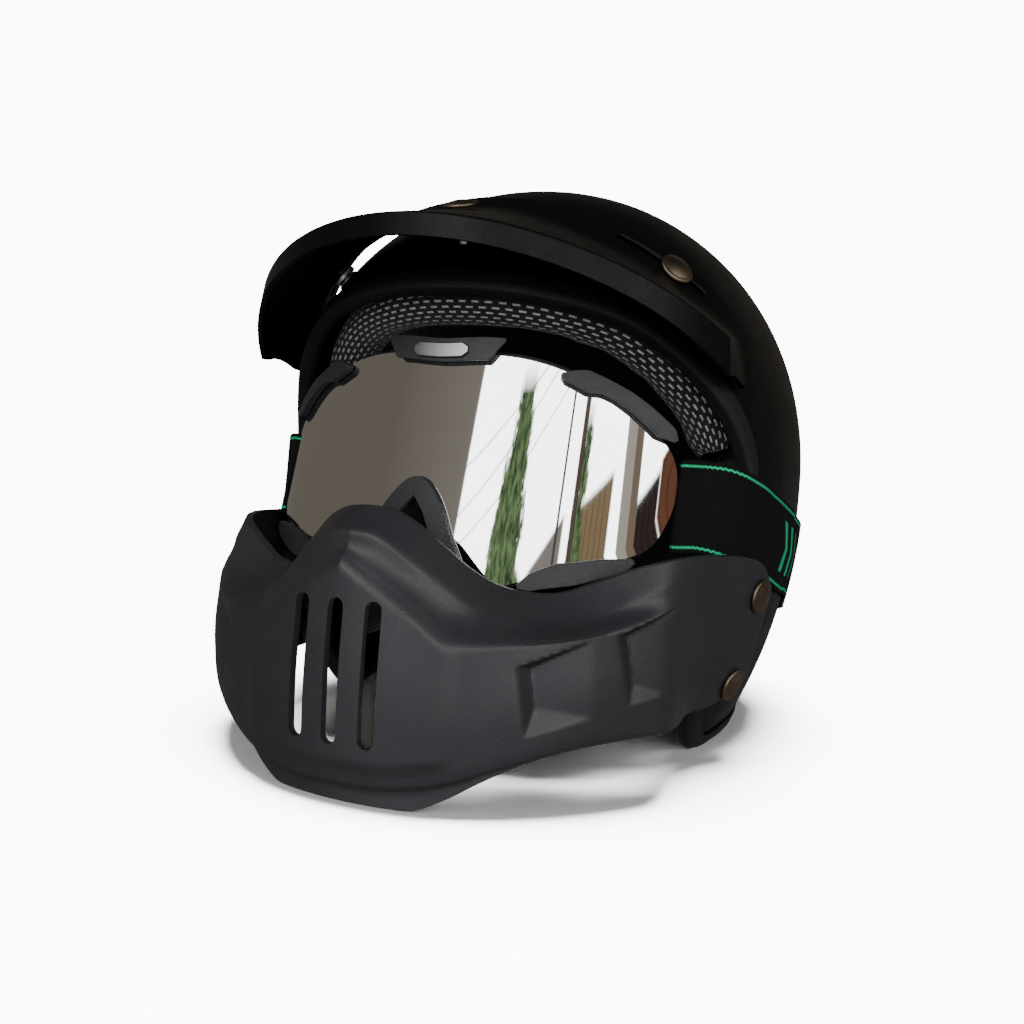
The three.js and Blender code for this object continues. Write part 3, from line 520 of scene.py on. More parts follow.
def mirror():
    s = Shader("mirror_coating", metallic=1.0, coat_weight=0.3, coat_roughness=0.03)
    smear = s.noise(28, 4, 0.6)
    s.set(base_color=s.blend(smear, (0.80, 0.80, 0.785), (0.88, 0.88, 0.865)),
          roughness=s.remap(smear, 0.3, 0.7, 0.012, 0.03))
    return s.material


SHELL_PAINT = matt_paint("matt_black_paint", (0.0034, 0.0034, 0.0037), 0.36, 0.1)
MASK_PAINT = matt_paint("matt_charcoal", (0.021, 0.021, 0.0245), 0.42, 0.4)
RUBBER = grained("trim_rubber", ((0.009, 0.009, 0.010), (0.016, 0.016, 0.017)), (60, 4), (0, 1), (180, 4),
                 (0.5, 0.62), (900, 3), (0.3, 0.0002), specular_ior_level=0.2)
BEADS = bead_foam()
LINER = knit("brushed_liner", (0.012, 0.012, 0.013), (0.020, 0.020, 0.021))
FACE_FOAM = knit("face_foam", (0.012, 0.010, 0.011), (0.022, 0.016, 0.017), 900.0)
BRONZE = metal("antique_bronze", (0.23, 0.17, 0.125), (0.14, 0.102, 0.074), 0.46)
STEEL = metal("plated_steel", (0.52, 0.52, 0.53), (0.34, 0.34, 0.35), 0.32)
MIRROR = mirror()
PLASTIC = moulded("goggle_plastic", (0.02, 0.02, 0.023), 0.42)
BUCKLE = moulded("buckle_plastic", (0.014, 0.014, 0.015), 0.5)
SILVER = metal("silver_plate", (0.30, 0.305, 0.31), (0.25, 0.255, 0.26), 0.30)

# ---- camera, light and floor

CAMERA_AT = np.array([213.1, -493.6, 134.0])
CAMERA_RIGHT = np.array([0.91577, 0.39651, 0.06442])
CAMERA_UP = np.array([-0.06576, -0.01023, 0.99778])
FOCAL_PIXELS = 1054.2
FRAME_PIXELS = 1024
PRINCIPAL = (551.5, 457.6)
SENSOR = 36.0


def make_camera():
    camera = bpy.data.cameras.new("camera")
    camera.sensor_width = SENSOR
    camera.lens = FOCAL_PIXELS / FRAME_PIXELS * SENSOR
    camera.shift_x = (FRAME_PIXELS / 2 - PRINCIPAL[0]) / FRAME_PIXELS
    camera.shift_y = (PRINCIPAL[1] - FRAME_PIXELS / 2) / FRAME_PIXELS
    camera.clip_start = 0.02
    camera.clip_end = 50
    back = np.cross(CAMERA_RIGHT, CAMERA_UP)
    turn = Matrix(np.stack([CAMERA_RIGHT, CAMERA_UP, back], axis=1).tolist()).to_4x4()
    obj = link("camera", camera)
    obj.matrix_world = Matrix.Translation(Vector(place(CAMERA_AT)[0])) @ turn
    bpy.context.scene.camera = obj


def area_light(name, at, towards, size, power, colour):
    light = bpy.data.lights.new(name, "AREA")
    light.shape = "RECTANGLE"
    light.size, light.size_y = size
    light.energy = power
    light.color = colour
    obj = link(name, light)
    obj.location = at
    obj.rotation_euler = (Vector(towards) - Vector(at)).to_track_quat("-Z", "Y").to_euler()
    return obj


# Lamps: place, what each points at, size, power and colour, in metres and watts.
LAMPS = {
    "key": ((-0.5, -1.6, 1.3), (0, 0, 0.12), (0.9, 0.6), 8, (1, 1, 1)),
    "side": ((1.7, -0.3, 0.9), (0, 0, 0.12), (0.7, 1.0), 1.5, (1, 0.9, 0.8)),
    "low": ((1.3, -1.3, 0.2), (0, 0, 0.08), (0.6, 0.5), 3, (1, 1, 1)),
}
FLOOR = dict(half=40.0, z=-0.0004, light=39.0, light_angle=30.0)


def make_floor():
    """A wide flat floor, with a light of its own so that it comes out nearly white."""
    half, z = FLOOR["half"], FLOOR["z"]
    mesh = bpy.data.meshes.new("floor")
    corners = [(-half, -half, z), (half, -half, z), (half, half, z), (-half, half, z)]
    mesh.from_pydata(corners, [], [(0, 1, 2, 3)])
    floor = link("floor", mesh)
    s = Shader("pale_floor", roughness=0.8)
    s.set(base_color=s.blend(s.noise(3, 2), (0.86, 0.86, 0.86), (0.9, 0.9, 0.9)))
    mesh.materials.append(s.material)
    floor.visible_diffuse = False
    floor.visible_glossy = False
    only_floor = bpy.data.collections.new("floor_only")
    only_floor.objects.link(floor)
    light = bpy.data.lights.new("floor_lamp", "SUN")
    light.energy = FLOOR["light"]
    light.angle = np.radians(FLOOR["light_angle"])
    link("floor_lamp", light).light_linking.receiver_collection = only_floor


class World(Shader):
    """The studio's surroundings: white to the camera, and a soft room with a window to everything else."""

    def __init__(self):
        self.world = bpy.data.worlds.new("studio")
        self.world.use_nodes = True
        self.tree = self.world.node_tree
        self.surface = self.tree.nodes["Background"]


WHITE_BACKDROP = 11.0
CEILING = (0.018, 0.017, 0.016)
ROOM_WALL = (0.135, 0.12, 0.10)
WALL_BY_WINDOW = (0.215, 0.195, 0.17)
ROOM_FLOOR = (0.14, 0.137, 0.135)
TABLE = (1.25, 1.25, 1.3)
SKY = (5.6, 5.8, 5.75)
LEAVES = [(0.03, 0.055, 0.03), (0.20, 0.30, 0.13)]
ROOF = (0.26, 0.235, 0.21)
WIRE = (0.6, 0.6, 0.6)
# Bearings are in degrees from the helmet's front towards its left, and rises in degrees above the horizon.
WINDOW_EDGE = -12.5
FAR_WALL = 90.0
CEILING_FROM = 31.0
# Fences: from and to which bearing, up to which rise, and the colour.
FENCES = [(38.0, 52.0, 20.3, (0.25, 0.18, 0.10)), (63.0, 72.5, 16.5, (0.035, 0.025, 0.022)),
          (72.5, 200.0, 18.5, (0.15, 0.062, 0.038))]
# Cypresses: bearing, half width at the foot and rise of the top.
CYPRESSES = [(9.5, 7.5, 29.5), (38.5, 3.2, 25.5)]
# Poles: bearing, lean, half width and colour.
POLES = [(30.5, 0.0, 0.35, (0.07, 0.07, 0.07)), (36.8, 0.0, 0.9, (0.10, 0.075, 0.06)),
         (60.0, 0.1, 2.0, (0.42, 0.39, 0.34)), (63.6, 0.1, 1.5, (0.20, 0.15, 0.11))]
# Wires: rise at the front, slope and half width.
WIRES = [(26.5, 0.20, 0.03), (24.2, 0.24, 0.03), (22.0, 0.22, 0.03)]


def make_world():
    w = World()
    x, y, z = w.split("Generated")
    turn = w.times(w.maths("ARCTAN2", x, w.times(y, -1.0)), 180 / np.pi)
    rise = w.times(w.maths("ARCSINE", z), 180 / np.pi)

    def between(value, low, high, soft=0.4):
        return w.times(w.rising(value, low - soft, low + soft), w.falling(value, high - soft, high + soft))

    def below(top, soft):
        return w.falling(rise, top - soft, top + soft)

    gable = w.maths("MULTIPLY_ADD", w.rising(turn, 14, 33), 3.5, 17.0)
    room = w.blend(w.times(between(turn, 14, 33), w.falling(w.minus(rise, gable), -0.2, 0.2)), SKY, ROOF)
    for start, slope, width in WIRES:
        away = w.apart(w.maths("MULTIPLY_ADD", turn, slope, start), rise)
        room = w.blend(w.falling(away, width, width + 0.08), room, WIRE)
    for low, high, top, colour in FENCES:
        boards = w.rising(w.maths("FRACT", w.times(turn, 0.45)), 0.05, 0.2)
        boards = w.blend(boards, [c * 0.5 for c in colour], colour)
        room = w.blend(w.times(between(turn, low, high), below(top, 0.3)), room, boards)
    for middle, width, top in CYPRESSES:
        ragged = w.maths("MULTIPLY_ADD", w.noise(22, 6, 0.75, w.coords("Generated")), 9.0, -4.5)
        taper = w.remap(rise, top - 12, top, width, width * 0.35)
        away = w.maths("ABSOLUTE", w.maths("ADD", w.minus(turn, middle), ragged))
        green = w.blend(w.rising(w.noise(60, 4, 0.7, w.coords("Generated")), 0.38, 0.62), *LEAVES)
        room = w.blend(w.times(w.falling(w.minus(away, taper), -0.5, 0.5), below(top, 1)), room, green)
    for middle, lean, width, colour in POLES:
        away = w.apart(w.maths("MULTIPLY_ADD", rise, lean, turn), middle)
        room = w.blend(w.falling(away, width, width + 0.25), room, colour)
    wall_tone = w.blend(w.rising(turn, WINDOW_EDGE - 40, WINDOW_EDGE), ROOM_WALL, WALL_BY_WINDOW)
    room = w.blend(between(turn, -200, WINDOW_EDGE), room, wall_tone)
    room = w.blend(between(turn, FAR_WALL, 200, 4), room, ROOM_WALL)
    room = w.blend(w.rising(rise, CEILING_FROM, CEILING_FROM + 6), room, CEILING)
    room = w.blend(below(-1, 3), room, ROOM_FLOOR)
    room = w.blend(w.times(between(turn, -30, 66, 8), between(rise, -20, -2, 4)), room, TABLE)
    to_camera = w.node("ShaderNodeLightPath").outputs["Is Camera Ray"]
    w.feed(w.surface.inputs["Color"], w.blend(to_camera, room, (WHITE_BACKDROP,) * 3))
    bpy.context.scene.world = w.world


make_camera()
make_floor()
make_world()
lamps = [area_light(name, *settings) for name, settings in LAMPS.items()]

# ---- shell, trim and liners


def make_shell():
    u, v = grid(240, 100, ring=True)
    d = towards_edge(u, v)
    obj = wall("shell_shell", on_shell(d), on_shell(d, -SHELL["wall"]), ring=True)
    settle(obj, "shell", "matt_black_shell", SHELL_PAINT, "outer_shell")


def make_trim():
    lip, gap, web, over = TRIM["lip"], TRIM["gap"], TRIM["web"], TRIM["over"]
    out, far, under = gap + over, -SHELL["wall"] - gap - over, -SHELL["wall"] - gap
    corners = [(-lip, gap), (-lip, out - 0.5), (0, out), (gap + web, out - 1), (gap + web, far + 1), (0, far),
               (-lip, far + 0.5), (-lip, under), (gap, under), (gap, gap)]
    soft = [0.3, 1.2, 4.0, 2.6, 2.6, 4.0, 1.2, 0.3, 0.2, 0.2]
    outline = np.concatenate([rounded(corners, radius, 5)[i * 6:(i + 1) * 6] for i, radius in enumerate(soft)])
    rings = at_edge(*spread(np.linspace(0, 1, 300, endpoint=False), outline))
    rings[..., 2] = np.maximum(rings[..., 2], 0)
    settle(sweep("rolled_trim", rings, closed=True), "shell", "black_rubber", RUBBER, "edge_trim")


def liner_end(u, inset, side_low, rear_low):
    """How far a liner reaches: a set distance short of the edge, and no lower than the pads' top."""
    end = unit(edge_curve(u) - CENTRE)
    reach = np.linalg.norm(on_shell(end) - CENTRE, axis=-1) * np.arccos(end @ CROWN_POLE)
    v = 1 - inset / reach
    for _ in range(300):
        d = towards_edge(u, v)
        azimuth = np.abs(np.degrees(np.arctan2(d[..., 0], -d[..., 1])))
        low = mix(side_low, rear_low, smoothstep(azimuth, 105, 165))
        v = np.where(np.degrees(np.arcsin(d[..., 2])) < low, v - 0.002, v)
    return v


def make_bowl(name, outer, inner, inset, side_low, rear_low):
    u, v = grid(200, 70, ring=True)
    d = towards_edge(u, v * liner_end(u[:, 0], inset, side_low, rear_low)[:, None])
    return wall(name, on_shell(d, outer), on_shell(d, inner), ring=True)


make_shell()
make_trim()
settle(bevel(make_bowl("impact_foam", -4.6, -24, 28, -11, -31), 2.5), "shell", "dark_foam", BEADS, "eps_liner")
settle(bevel(make_bowl("crown_lining", -24.4, -34, 30, -8, -27), 3.0), "shell", "black_fabric", LINER,
       "comfort_liner")

# ---- snap fasteners

CAP_PROFILE = [(0, 0), (7.1, 0), (7.45, 0.3), (7.5, 0.8), (7.3, 1.3), (6.85, 1.55), (6.4, 1.5), (6.1, 1.42),
               (5.4, 1.75), (4.2, 2.15), (2.6, 2.5), (1.2, 2.68), (0, 2.72)]
STUD_PROFILE = [(0, 0), (5.4, 0), (5.6, 0.2), (5.55, 0.8), (5.1, 1.0), (2.9, 1.15), (2.45, 1.4), (2.4, 2.3),
                (2.85, 2.6), (3.0, 3.0), (2.7, 3.45), (1.6, 3.66), (0, 3.7)]
CENTRE_STUD_PROFILE = [(0, -14), (2.6, -14), (2.45, -7.4), (2.4, -3.7), (2.85, -3.4), (3.0, -3.0), (2.7, -2.7),
                       (1.5, -2.53), (0, -2.5)]
SOCKET_PROFILE = [(3.4, 0.15), (3.6, 0), (5.9, 0), (6.2, 0.25), (6.2, 1.75), (5.9, 2), (3.6, 2), (3.4, 1.85),
                  (3.4, 0.15)]
SNAP_LIFT = dict(stud=0.3, socket=1.9, cap=0.35)
CENTRE_DEPTHS = (0, -PEAK_WALL - 3.3, 1.2)


def snap_set(group, name, at, axis, depths, stud=STUD_PROFILE):
    """One snap: a stud on the shell, and a socket and a cap on the piece that it holds."""
    parts = [("stud", stud, "shell", "plated_steel", STEEL),
             ("socket", SOCKET_PROFILE, group, "plated_steel", STEEL),
             ("cap", CAP_PROFILE, group, "snap_bronze", BRONZE)]
    for (kind, profile, body, slot, material), depth in zip(parts, depths):
        obj = turned(f"{group}_{kind}_{name}_turned", profile, at + axis * depth, axis)
        settle(obj, body, slot, material, f"{group}_{kind}_{name}")


def make_snaps():
    for group, places, thick in (("peak", PEAK_SNAPS, PEAK_WALL), ("mask", MASK_SNAPS, MASK_WALL)):
        for name, (azimuth, z) in places.items():
            at = on_shell_at_height(azimuth, z)
            axis = unit(on_shell_at_height(azimuth, z, 1.0) - at)
            snap_set(group, name, at, axis,
                     (SNAP_LIFT["stud"], SNAP_LIFT["socket"], BAND_LIFT + thick + SNAP_LIFT["cap"]))
    tilt = np.radians(CENTRE_SNAP["tilt"])
    at = np.array([0, CENTRE_SNAP["y"], CENTRE_SNAP["z"]], float)
    axis = np.array([0, -np.sin(tilt), np.cos(tilt)])
    snap_set("peak", "centre", at, axis, CENTRE_DEPTHS, CENTRE_STUD_PROFILE)


make_snaps()

# ---- peak


def by_fraction(points):
    fractions = np.linspace(0, 1, len(points))
    azimuth, elevation = (curve_through(list(zip(fractions, column))) for column in zip(*points))
    return lambda s: direction(np.sign(s) * azimuth(np.abs(s)), elevation(np.abs(s)))


peak_rear = by_fraction(PEAK_REAR)
peak_leave = by_fraction(PEAK_LEAVE)
lip_drop = curve_through(PEAK_LIP_DROP)


def end_share(s):
    return np.clip((np.abs(s) - PEAK_END["start"]) / (1 - PEAK_END["start"]), 0, 1)


def peak_crease(s):
    t = np.radians(PEAK_CREASE["last_angle"] * np.clip(s / PEAK_END["start"], -1, 1))
    near = np.cos(t) ** PEAK_CREASE["power"]
    tip = end_share(s)
    return np.stack([PEAK_CREASE["half_width"] * np.sin(t),
                     PEAK_CREASE["base_y"] - PEAK_CREASE["reach"] * near + PEAK_END["back"] * tip,
                     PEAK_CREASE["base_z"] + PEAK_CREASE["rise"] * near - PEAK_END["fall"] * tip], axis=-1)


def peak_line(s, t, depth):
    """The peak's face at s across and t back to front: band 0 to 1, top 1 to 2, lip 2 to 3. depth is inwards."""
    lift = BAND_LIFT + PEAK_WALL - depth
    raised = PEAK_CENTRE_LIFT * np.exp(-((s / PEAK_CENTRE_SPREAD) ** 2))
    if t <= 1:
        chord = mix(on_shell(peak_rear(s)), on_shell(peak_leave(s)), t) - CENTRE
        return on_shell(unit(chord), lift + raised * smoothstep(t, 0, 1))
    crease = peak_crease(s)
    outward = unit(crease * (1, 1, 0) + (0, 40, 0))
    if t <= 2:
        corner = crease - outward * depth - depth * (1 - end_share(s))[..., None] * (0, 0, 1)
        bulge = 1.5 * np.sin(np.pi * (t - 1)) * np.abs(s)
        return mix(on_shell(peak_leave(s), lift + raised), corner, t - 1) + bulge[..., None] * (0, 0, 1)
    drop = lip_drop(np.minimum(np.abs(s), PEAK_END["start"])) - PEAK_END["fall"] * end_share(s)
    fall = drop * (t - 2) + depth * (1 - end_share(s)) * (3 - t)
    return crease + outward * (1.6 * (t - 2) - depth) - fall[..., None] * (0, 0, 1)


def peak_face(s, t, depth):
    """The same face with its corners rounded and its two tips cut to an arc."""
    low = np.clip((t - PEAK_TIP["low_from"]) / (3 - PEAK_TIP["low_from"]), 0, 1)
    high = np.clip(1 - t / PEAK_TIP["high_from"], 0, 1)
    s = s * (1 - PEAK_TIP["low"] * quarter(low) - PEAK_TIP["high"] * quarter(high))
    for corner, soft in PEAK_CORNERS.items():
        if abs(t - corner) < soft:
            near = [peak_line(s, corner + k * soft, depth) for k in (-1, 0, 1)]
            return arc((t - corner + soft) / (2 * soft), *near)
    return peak_line(s, t, depth)


def make_peak():
    across = np.sin(np.linspace(-1, 1, 221) * np.pi / 2 * 0.8) / np.sin(np.pi / 2 * 0.8)
    rows = np.concatenate([np.linspace(0, 0.7, 9), np.linspace(0.75, 1.3, 10), np.linspace(1.36, 1.94, 9),
                           np.linspace(1.955, 2.05, 6), np.linspace(2.12, 3, 12)])
    faces = [np.stack([peak_face(across, t, depth) for t in rows], axis=1) for depth in (0.0, PEAK_WALL)]
    obj = bevel(wall("peak_shell", *faces, sharp=35), 0.8, 3, 50)
    for side in (1, -1):
        cut_slot(obj, side)
    settle(obj, "peak", "matt_black_shell", SHELL_PAINT, "peak_visor")


def cut_slot(obj, side):
    """Cuts the adjusting slot under a side cap, along the band."""
    azimuth, z = PEAK_SNAPS["left"]
    middle = on_shell_at_height(side * azimuth, z, BAND_LIFT)
    normal = unit(middle - on_shell_at_height(side * azimuth, z, 0.0))

    def on_peak(s, t, depth):
        return peak_line(np.array(side * s), t, depth)

    s, t = min(((s, t) for s in np.linspace(0.3, 0.9, 61) for t in np.linspace(0.1, 0.95, 35)),
               key=lambda p: np.linalg.norm(on_peak(*p, PEAK_WALL) - middle))
    ahead = unit(on_peak(s - 0.05, t, 0) - on_peak(s, t, 0))
    ahead = unit(ahead - normal * (ahead @ normal))
    sideways = np.cross(normal, ahead)
    half = PEAK_SLOT["width"] / 2
    ends = [(-PEAK_SLOT["back"], np.pi / 2), (PEAK_SLOT["forward"], -np.pi / 2)]
    outline = [(x + half * np.cos(a), half * np.sin(a)) for x, start in ends
               for a in start + np.linspace(0, np.pi, 9)]
    rings = [[middle + ahead * a + sideways * b + normal * h for a, b in outline] for h in (-5.0, 10.0)]
    tool = sweep("slot_tool", np.array(rings))
    modify(obj, "BOOLEAN", operation="DIFFERENCE", solver="EXACT", object=tool)
    bake(obj)
    bpy.data.objects.remove(tool)


make_peak()

# ---- face mask

mask_curves = [curve_through(points) for points in (MASK_FLANGE, MASK_HEM, MASK_RIDGE, MASK_LIP, MASK_TOP,
                                                    MASK_TOP_INSET, MASK_LIP_INSET, MASK_FLANGE_INSET)]
LEVEL_SOFTNESS = [0, 0.3, 0.4, 3, 12, 3.0, 6, 1.2, 0]
MASK_ROWS = [4, 2, 5, 24, 24, 12, 7, 7]
EAR_CORNER = dict(top=5.0, bottom=3.0)
FRONT_PANEL = dict(proud=1.3, inside=17.5, outside=22.0)
MM_PER_DEGREE = 2.2
# Each side recess: front edge and rear edge as (angle, z) at the bottom and at the top.
RECESSES = [dict(front=((32.4, 30), (30.4, 54.5)), rear=((43.4, 36.5), (42.6, 64))),
            dict(front=((49.9, 40), (47.4, 65.5)), rear=((58.6, 43.0), (59.5, 75)))]
RECESS_SLOPES = dict(front=0.75, bottom=0.5, top=1.5, rear=0.21)


def mask_levels(angle):
    """Heights and insets of the mask's profile from the flange up to the top edge."""
    a = np.abs(angle)
    flange, hem, ridge, lip, top, top_inset, lip_inset, flange_inset = [curve(a) for curve in mask_curves]
    fade = 1 - smoothstep(a, 45, 65)
    flange = np.maximum(flange, 0)
    heights = [flange, hem - 0.6, hem, hem + 4, mix(hem, ridge, 0.5), ridge, mix(ridge, lip, 0.5), lip, top]
    insets = [flange_inset, flange_inset, 0.8 * fade, 0 * a, -1.5 * fade, 0 * a, 0.45 * lip_inset + 2.5 * fade,
              lip_inset, top_inset]
    return np.stack(heights), np.stack(insets)


def soft_min(values, soft=0.2):
    """The least of the values, with the crossings rounded over."""
    return -soft * np.log(np.exp(-np.stack(values) / soft).sum(axis=0))


def recess_depth(angle, z):
    a = np.abs(angle)
    depth = np.zeros_like(a)
    slopes, rounding = RECESS_SLOPES, 0.12
    for recess in RECESSES:
        (f0, zf0), (f1, zf1) = recess["front"]
        (r0, zr0), (r1, zr1) = recess["rear"]
        front = f0 + (f1 - f0) * (z - zf0) / (zf1 - zf0)
        rear = r0 + (r1 - r0) * (z - zr0) / (zr1 - zr0)
        bottom = zf0 + (zr0 - zf0) * (a - f0) / (r0 - f0)
        top = zf1 + (zr1 - zf1) * (a - f1) / (r1 - f1)
        lowest = soft_min([slopes["front"] * (a - front) * MM_PER_DEGREE, slopes["bottom"] * (z - bottom),
                           slopes["top"] * (top - z), slopes["rear"] * (rear - a) * MM_PER_DEGREE])
        depth = np.maximum(depth, rounding * np.log1p(np.exp(np.clip(lowest / rounding, -40, 40))))
    return depth


def mask_inset(angle, z):
    heights, insets = mask_levels(angle)
    count = len(heights)

    def straight(x):
        value = insets[0]
        for k in range(count - 1):
            t = np.clip((x - heights[k]) / np.maximum(heights[k + 1] - heights[k], 1e-6), 0, 1)
            value = np.where(x > heights[k], mix(insets[k], insets[k + 1], t), value)
        return value

    result = straight(z)
    for k in range(1, count - 1):
        room = 0.45 * np.minimum(heights[k] - heights[k - 1], heights[k + 1] - heights[k])
        soft = np.minimum(LEVEL_SOFTNESS[k], np.maximum(room, 1e-3))
        q = (z - heights[k] + soft) / (2 * soft)
        curve = arc(q, straight(heights[k] - soft), insets[k], straight(heights[k] + soft))
        result = np.where((q > 0) & (q < 1), curve, result)
    panel = 1 - smoothstep(np.abs(angle), FRONT_PANEL["inside"], FRONT_PANEL["outside"])
    lower = smoothstep(z, heights[3], heights[3] + 6) * (1 - smoothstep(z, heights[5] - 4, heights[5] + 2))
    return result - FRONT_PANEL["proud"] * panel * lower


def mask_point(angle, z, inset):
    a = np.radians(angle)
    x, y = MASK["half_width"] * np.sin(a), -MASK["depth"] * np.cos(a)
    normal = unit(np.stack([x / MASK["half_width"] ** 2, y / MASK["depth"] ** 2, 0 * a], axis=-1))
    front = np.stack([x, y + MASK["centre_y"], z], axis=-1) - normal * inset[..., None]
    azimuth = np.degrees(np.arctan2(x, -(y + MASK["centre_y"])))
    ear = on_shell_at_height(azimuth, z, BAND_LIFT + MASK_WALL - inset)
    return mix(front, ear, smoothstep(np.abs(angle), 56, 77)[..., None])


SLOT_MIDDLES = (-SLOT["spacing"], 0.0, SLOT["spacing"])


def slot_core(z):
    """The height of the nearest point on a slot's middle line."""
    return np.clip(z, SLOT["bottom"] + SLOT["width"] / 2, SLOT["top"] - SLOT["width"] / 2)


def snap_to_slots(x, z, may_move, reach=1.6):
    """Moves points that are close to a slot's outline onto it."""
    half = SLOT["width"] / 2
    for middle in SLOT_MIDDLES:
        dx, dz = x - middle, z - slot_core(z)
        distance = np.hypot(dx, dz)
        near = may_move & (np.abs(distance - half) < reach) & (np.abs(dx) < half + reach)
        scale = np.where(near, half / np.maximum(distance, 1e-6), 1)
        x, z = middle + dx * scale, slot_core(z) + dz * scale
    return x, z


def inside_slot(x, z):
    return np.min([np.hypot(x - m, z - slot_core(z)) for m in SLOT_MIDDLES], axis=0) < SLOT["width"] / 2


def around(grid_values):
    """The four neighbours, across the diagonals, of each corner or each cell of a grid."""
    return [grid_values[1:, 1:], grid_values[:-1, 1:], grid_values[1:, :-1], grid_values[:-1, :-1]]


def make_mask():
    half_width, last = MASK["half_width"], MASK["last_angle"]
    fine = np.degrees(np.arcsin(np.linspace(-20, 20, 67) / half_width))
    rest = np.linspace(fine[-1], last, 171)[1:]
    angles = np.concatenate([-rest[::-1], fine, rest])
    levels = len(MASK_ROWS)
    steps = [k + np.linspace(0, 1, n, endpoint=False) for k, n in enumerate(MASK_ROWS)]
    steps = np.concatenate(steps + [[levels]])
    share = steps / levels
    top, low = np.clip((share - 0.72) / 0.28, 0, 1), np.clip(1 - share / 0.25, 0, 1)
    pulled = EAR_CORNER["top"] * quarter(top) + EAR_CORNER["bottom"] * quarter(low)
    angle = angles[:, None] * (1 - smoothstep(np.abs(angles), 70, last)[:, None] * pulled[None, :] / last)
    heights, _ = mask_levels(angle)
    k = np.minimum(steps.astype(int), levels - 1)
    columns = np.arange(len(steps))
    z = mix(heights[k, :, columns].T, heights[k + 1, :, columns].T, (steps - k)[None, :])
    x = half_width * np.sin(np.radians(angle))
    centres = [sum(around(g)) / 4 for g in (x, z, angle)]
    keep = ~(inside_slot(*centres[:2]) & (np.abs(centres[2]) < 30))
    near = around(np.pad(keep, 1, constant_values=True))
    front = np.abs(angle) < 30
    x, z = snap_to_slots(x, z, np.any(near, axis=0) & ~np.all(near, axis=0) & front)
    angle = np.where(front, np.degrees(np.arcsin(x / half_width)), angle)
    inset, recess = mask_inset(angle, z), recess_depth(angle, z)
    outer, inner = mask_point(angle, z, inset + recess), mask_point(angle, z, inset + 0.8 * recess + MASK_WALL)
    obj = bevel(wall("mask_shell", outer, inner, keep=keep, sharp=32), 0.7, 3, 42)
    settle(obj, "mask", "matt_charcoal", MASK_PAINT, "face_mask")


make_mask()

# ---- goggles


def keep_lamps_off(lens):
    """The mirror shows the surroundings only, so the studio's lamps leave it out."""
    left_out = bpy.data.collections.new("without_the_lens")
    left_out.objects.link(lens)
    left_out.collection_objects[0].light_linking.link_state = "EXCLUDE"
    for lamp in lamps:
        lamp.light_linking.receiver_collection = left_out


def lens_point(x, z, lift):
    angle = np.arcsin(x / LENS["radius"])
    front = LENS["top_y"] - (LENS["top_z"] - z) * LENS["lean"]
    radius = LENS["radius"] + lift
    return np.stack([radius * np.sin(angle), front + LENS["radius"] - radius * np.cos(angle), z], axis=-1)


lens_curve = closed_curve(LENS_OUTLINE + [(-x, z) for x, z in LENS_OUTLINE[1:-1][::-1]])


def beside_lens(u, a, b):
    """A point beside the lens outline: a is outside it along the lens, b is the lift off its front face."""
    step = 5e-4
    point = lens_curve(u)
    tangent = unit(lens_curve(u + step) - lens_curve(u - step))
    return lens_point(point[..., 0] - tangent[..., 1] * a, point[..., 1] + tangent[..., 0] * a, b)


def lens_band(name, section):
    return sweep(name, beside_lens(*spread(np.linspace(0, 1, 320, endpoint=False), section)), closed=True)


def clip(name, node, span, low, high, lifts=(0.35, 3.4), material=PLASTIC, slot="goggle_plastic", steps=48,
         edge=0.7):
    """A plate along the lens's edge. low and high are its two edges, as (fraction of the span, a) points."""
    s, t = grid(steps, 7)
    a = mix(np.interp(s, *np.array(low, float).T), np.interp(s, *np.array(high, float).T), t)
    front, back = (beside_lens(mix(*span, s), a, lift) for lift in lifts[::-1])
    return settle(bevel(wall(name, front, back, sharp=30), edge, 2), "goggles", slot, material, node)


FRAME_FRONT = -LENS["wall"] - 1
TOP_CLIP_LOW = [(0, 5.5), (0.10, -2.6), (0.90, -2.6), (1, 5.5)]
TOP_CLIP_HIGH = [(0, 7.0), (1, 7.0)]
BADGE_LOW = [(0, 0.8), (0.10, -1.0), (0.90, -1.0), (1, 0.8)]
BADGE_HIGH = [(0, 3.2), (0.10, 5.0), (0.90, 5.0), (1, 3.2)]
NOSE_LOW = [(0, 1.0), (0.1, -3.8), (0.42, -3.8), (0.5, -3.4), (0.58, -3.8), (0.9, -3.8), (1, 1.0)]
NOSE_HIGH = [(0, 2.4), (0.14, 3.6), (0.5, 4), (0.86, 3.6), (1, 2.4)]
UPPER_LOW = [(0, -2.2), (0.05, -3.8), (0.26, -4.0), (0.36, -1.6), (0.46, -0.9), (0.9, -0.9), (1, 1.6)]
UPPER_HIGH = [(0, -1.2), (0.06, 1.2), (0.16, 4.0), (0.5, 5), (0.92, 5), (1, 3.2)]
LOWER_LOW = [(0, 0.4), (0.25, -2.4), (0.62, -4), (0.86, -2.2), (1, 0.6)]
LOWER_HIGH = [(0, 2.4), (0.1, 4.4), (0.5, 5), (0.9, 4.2), (1, 2.0)]


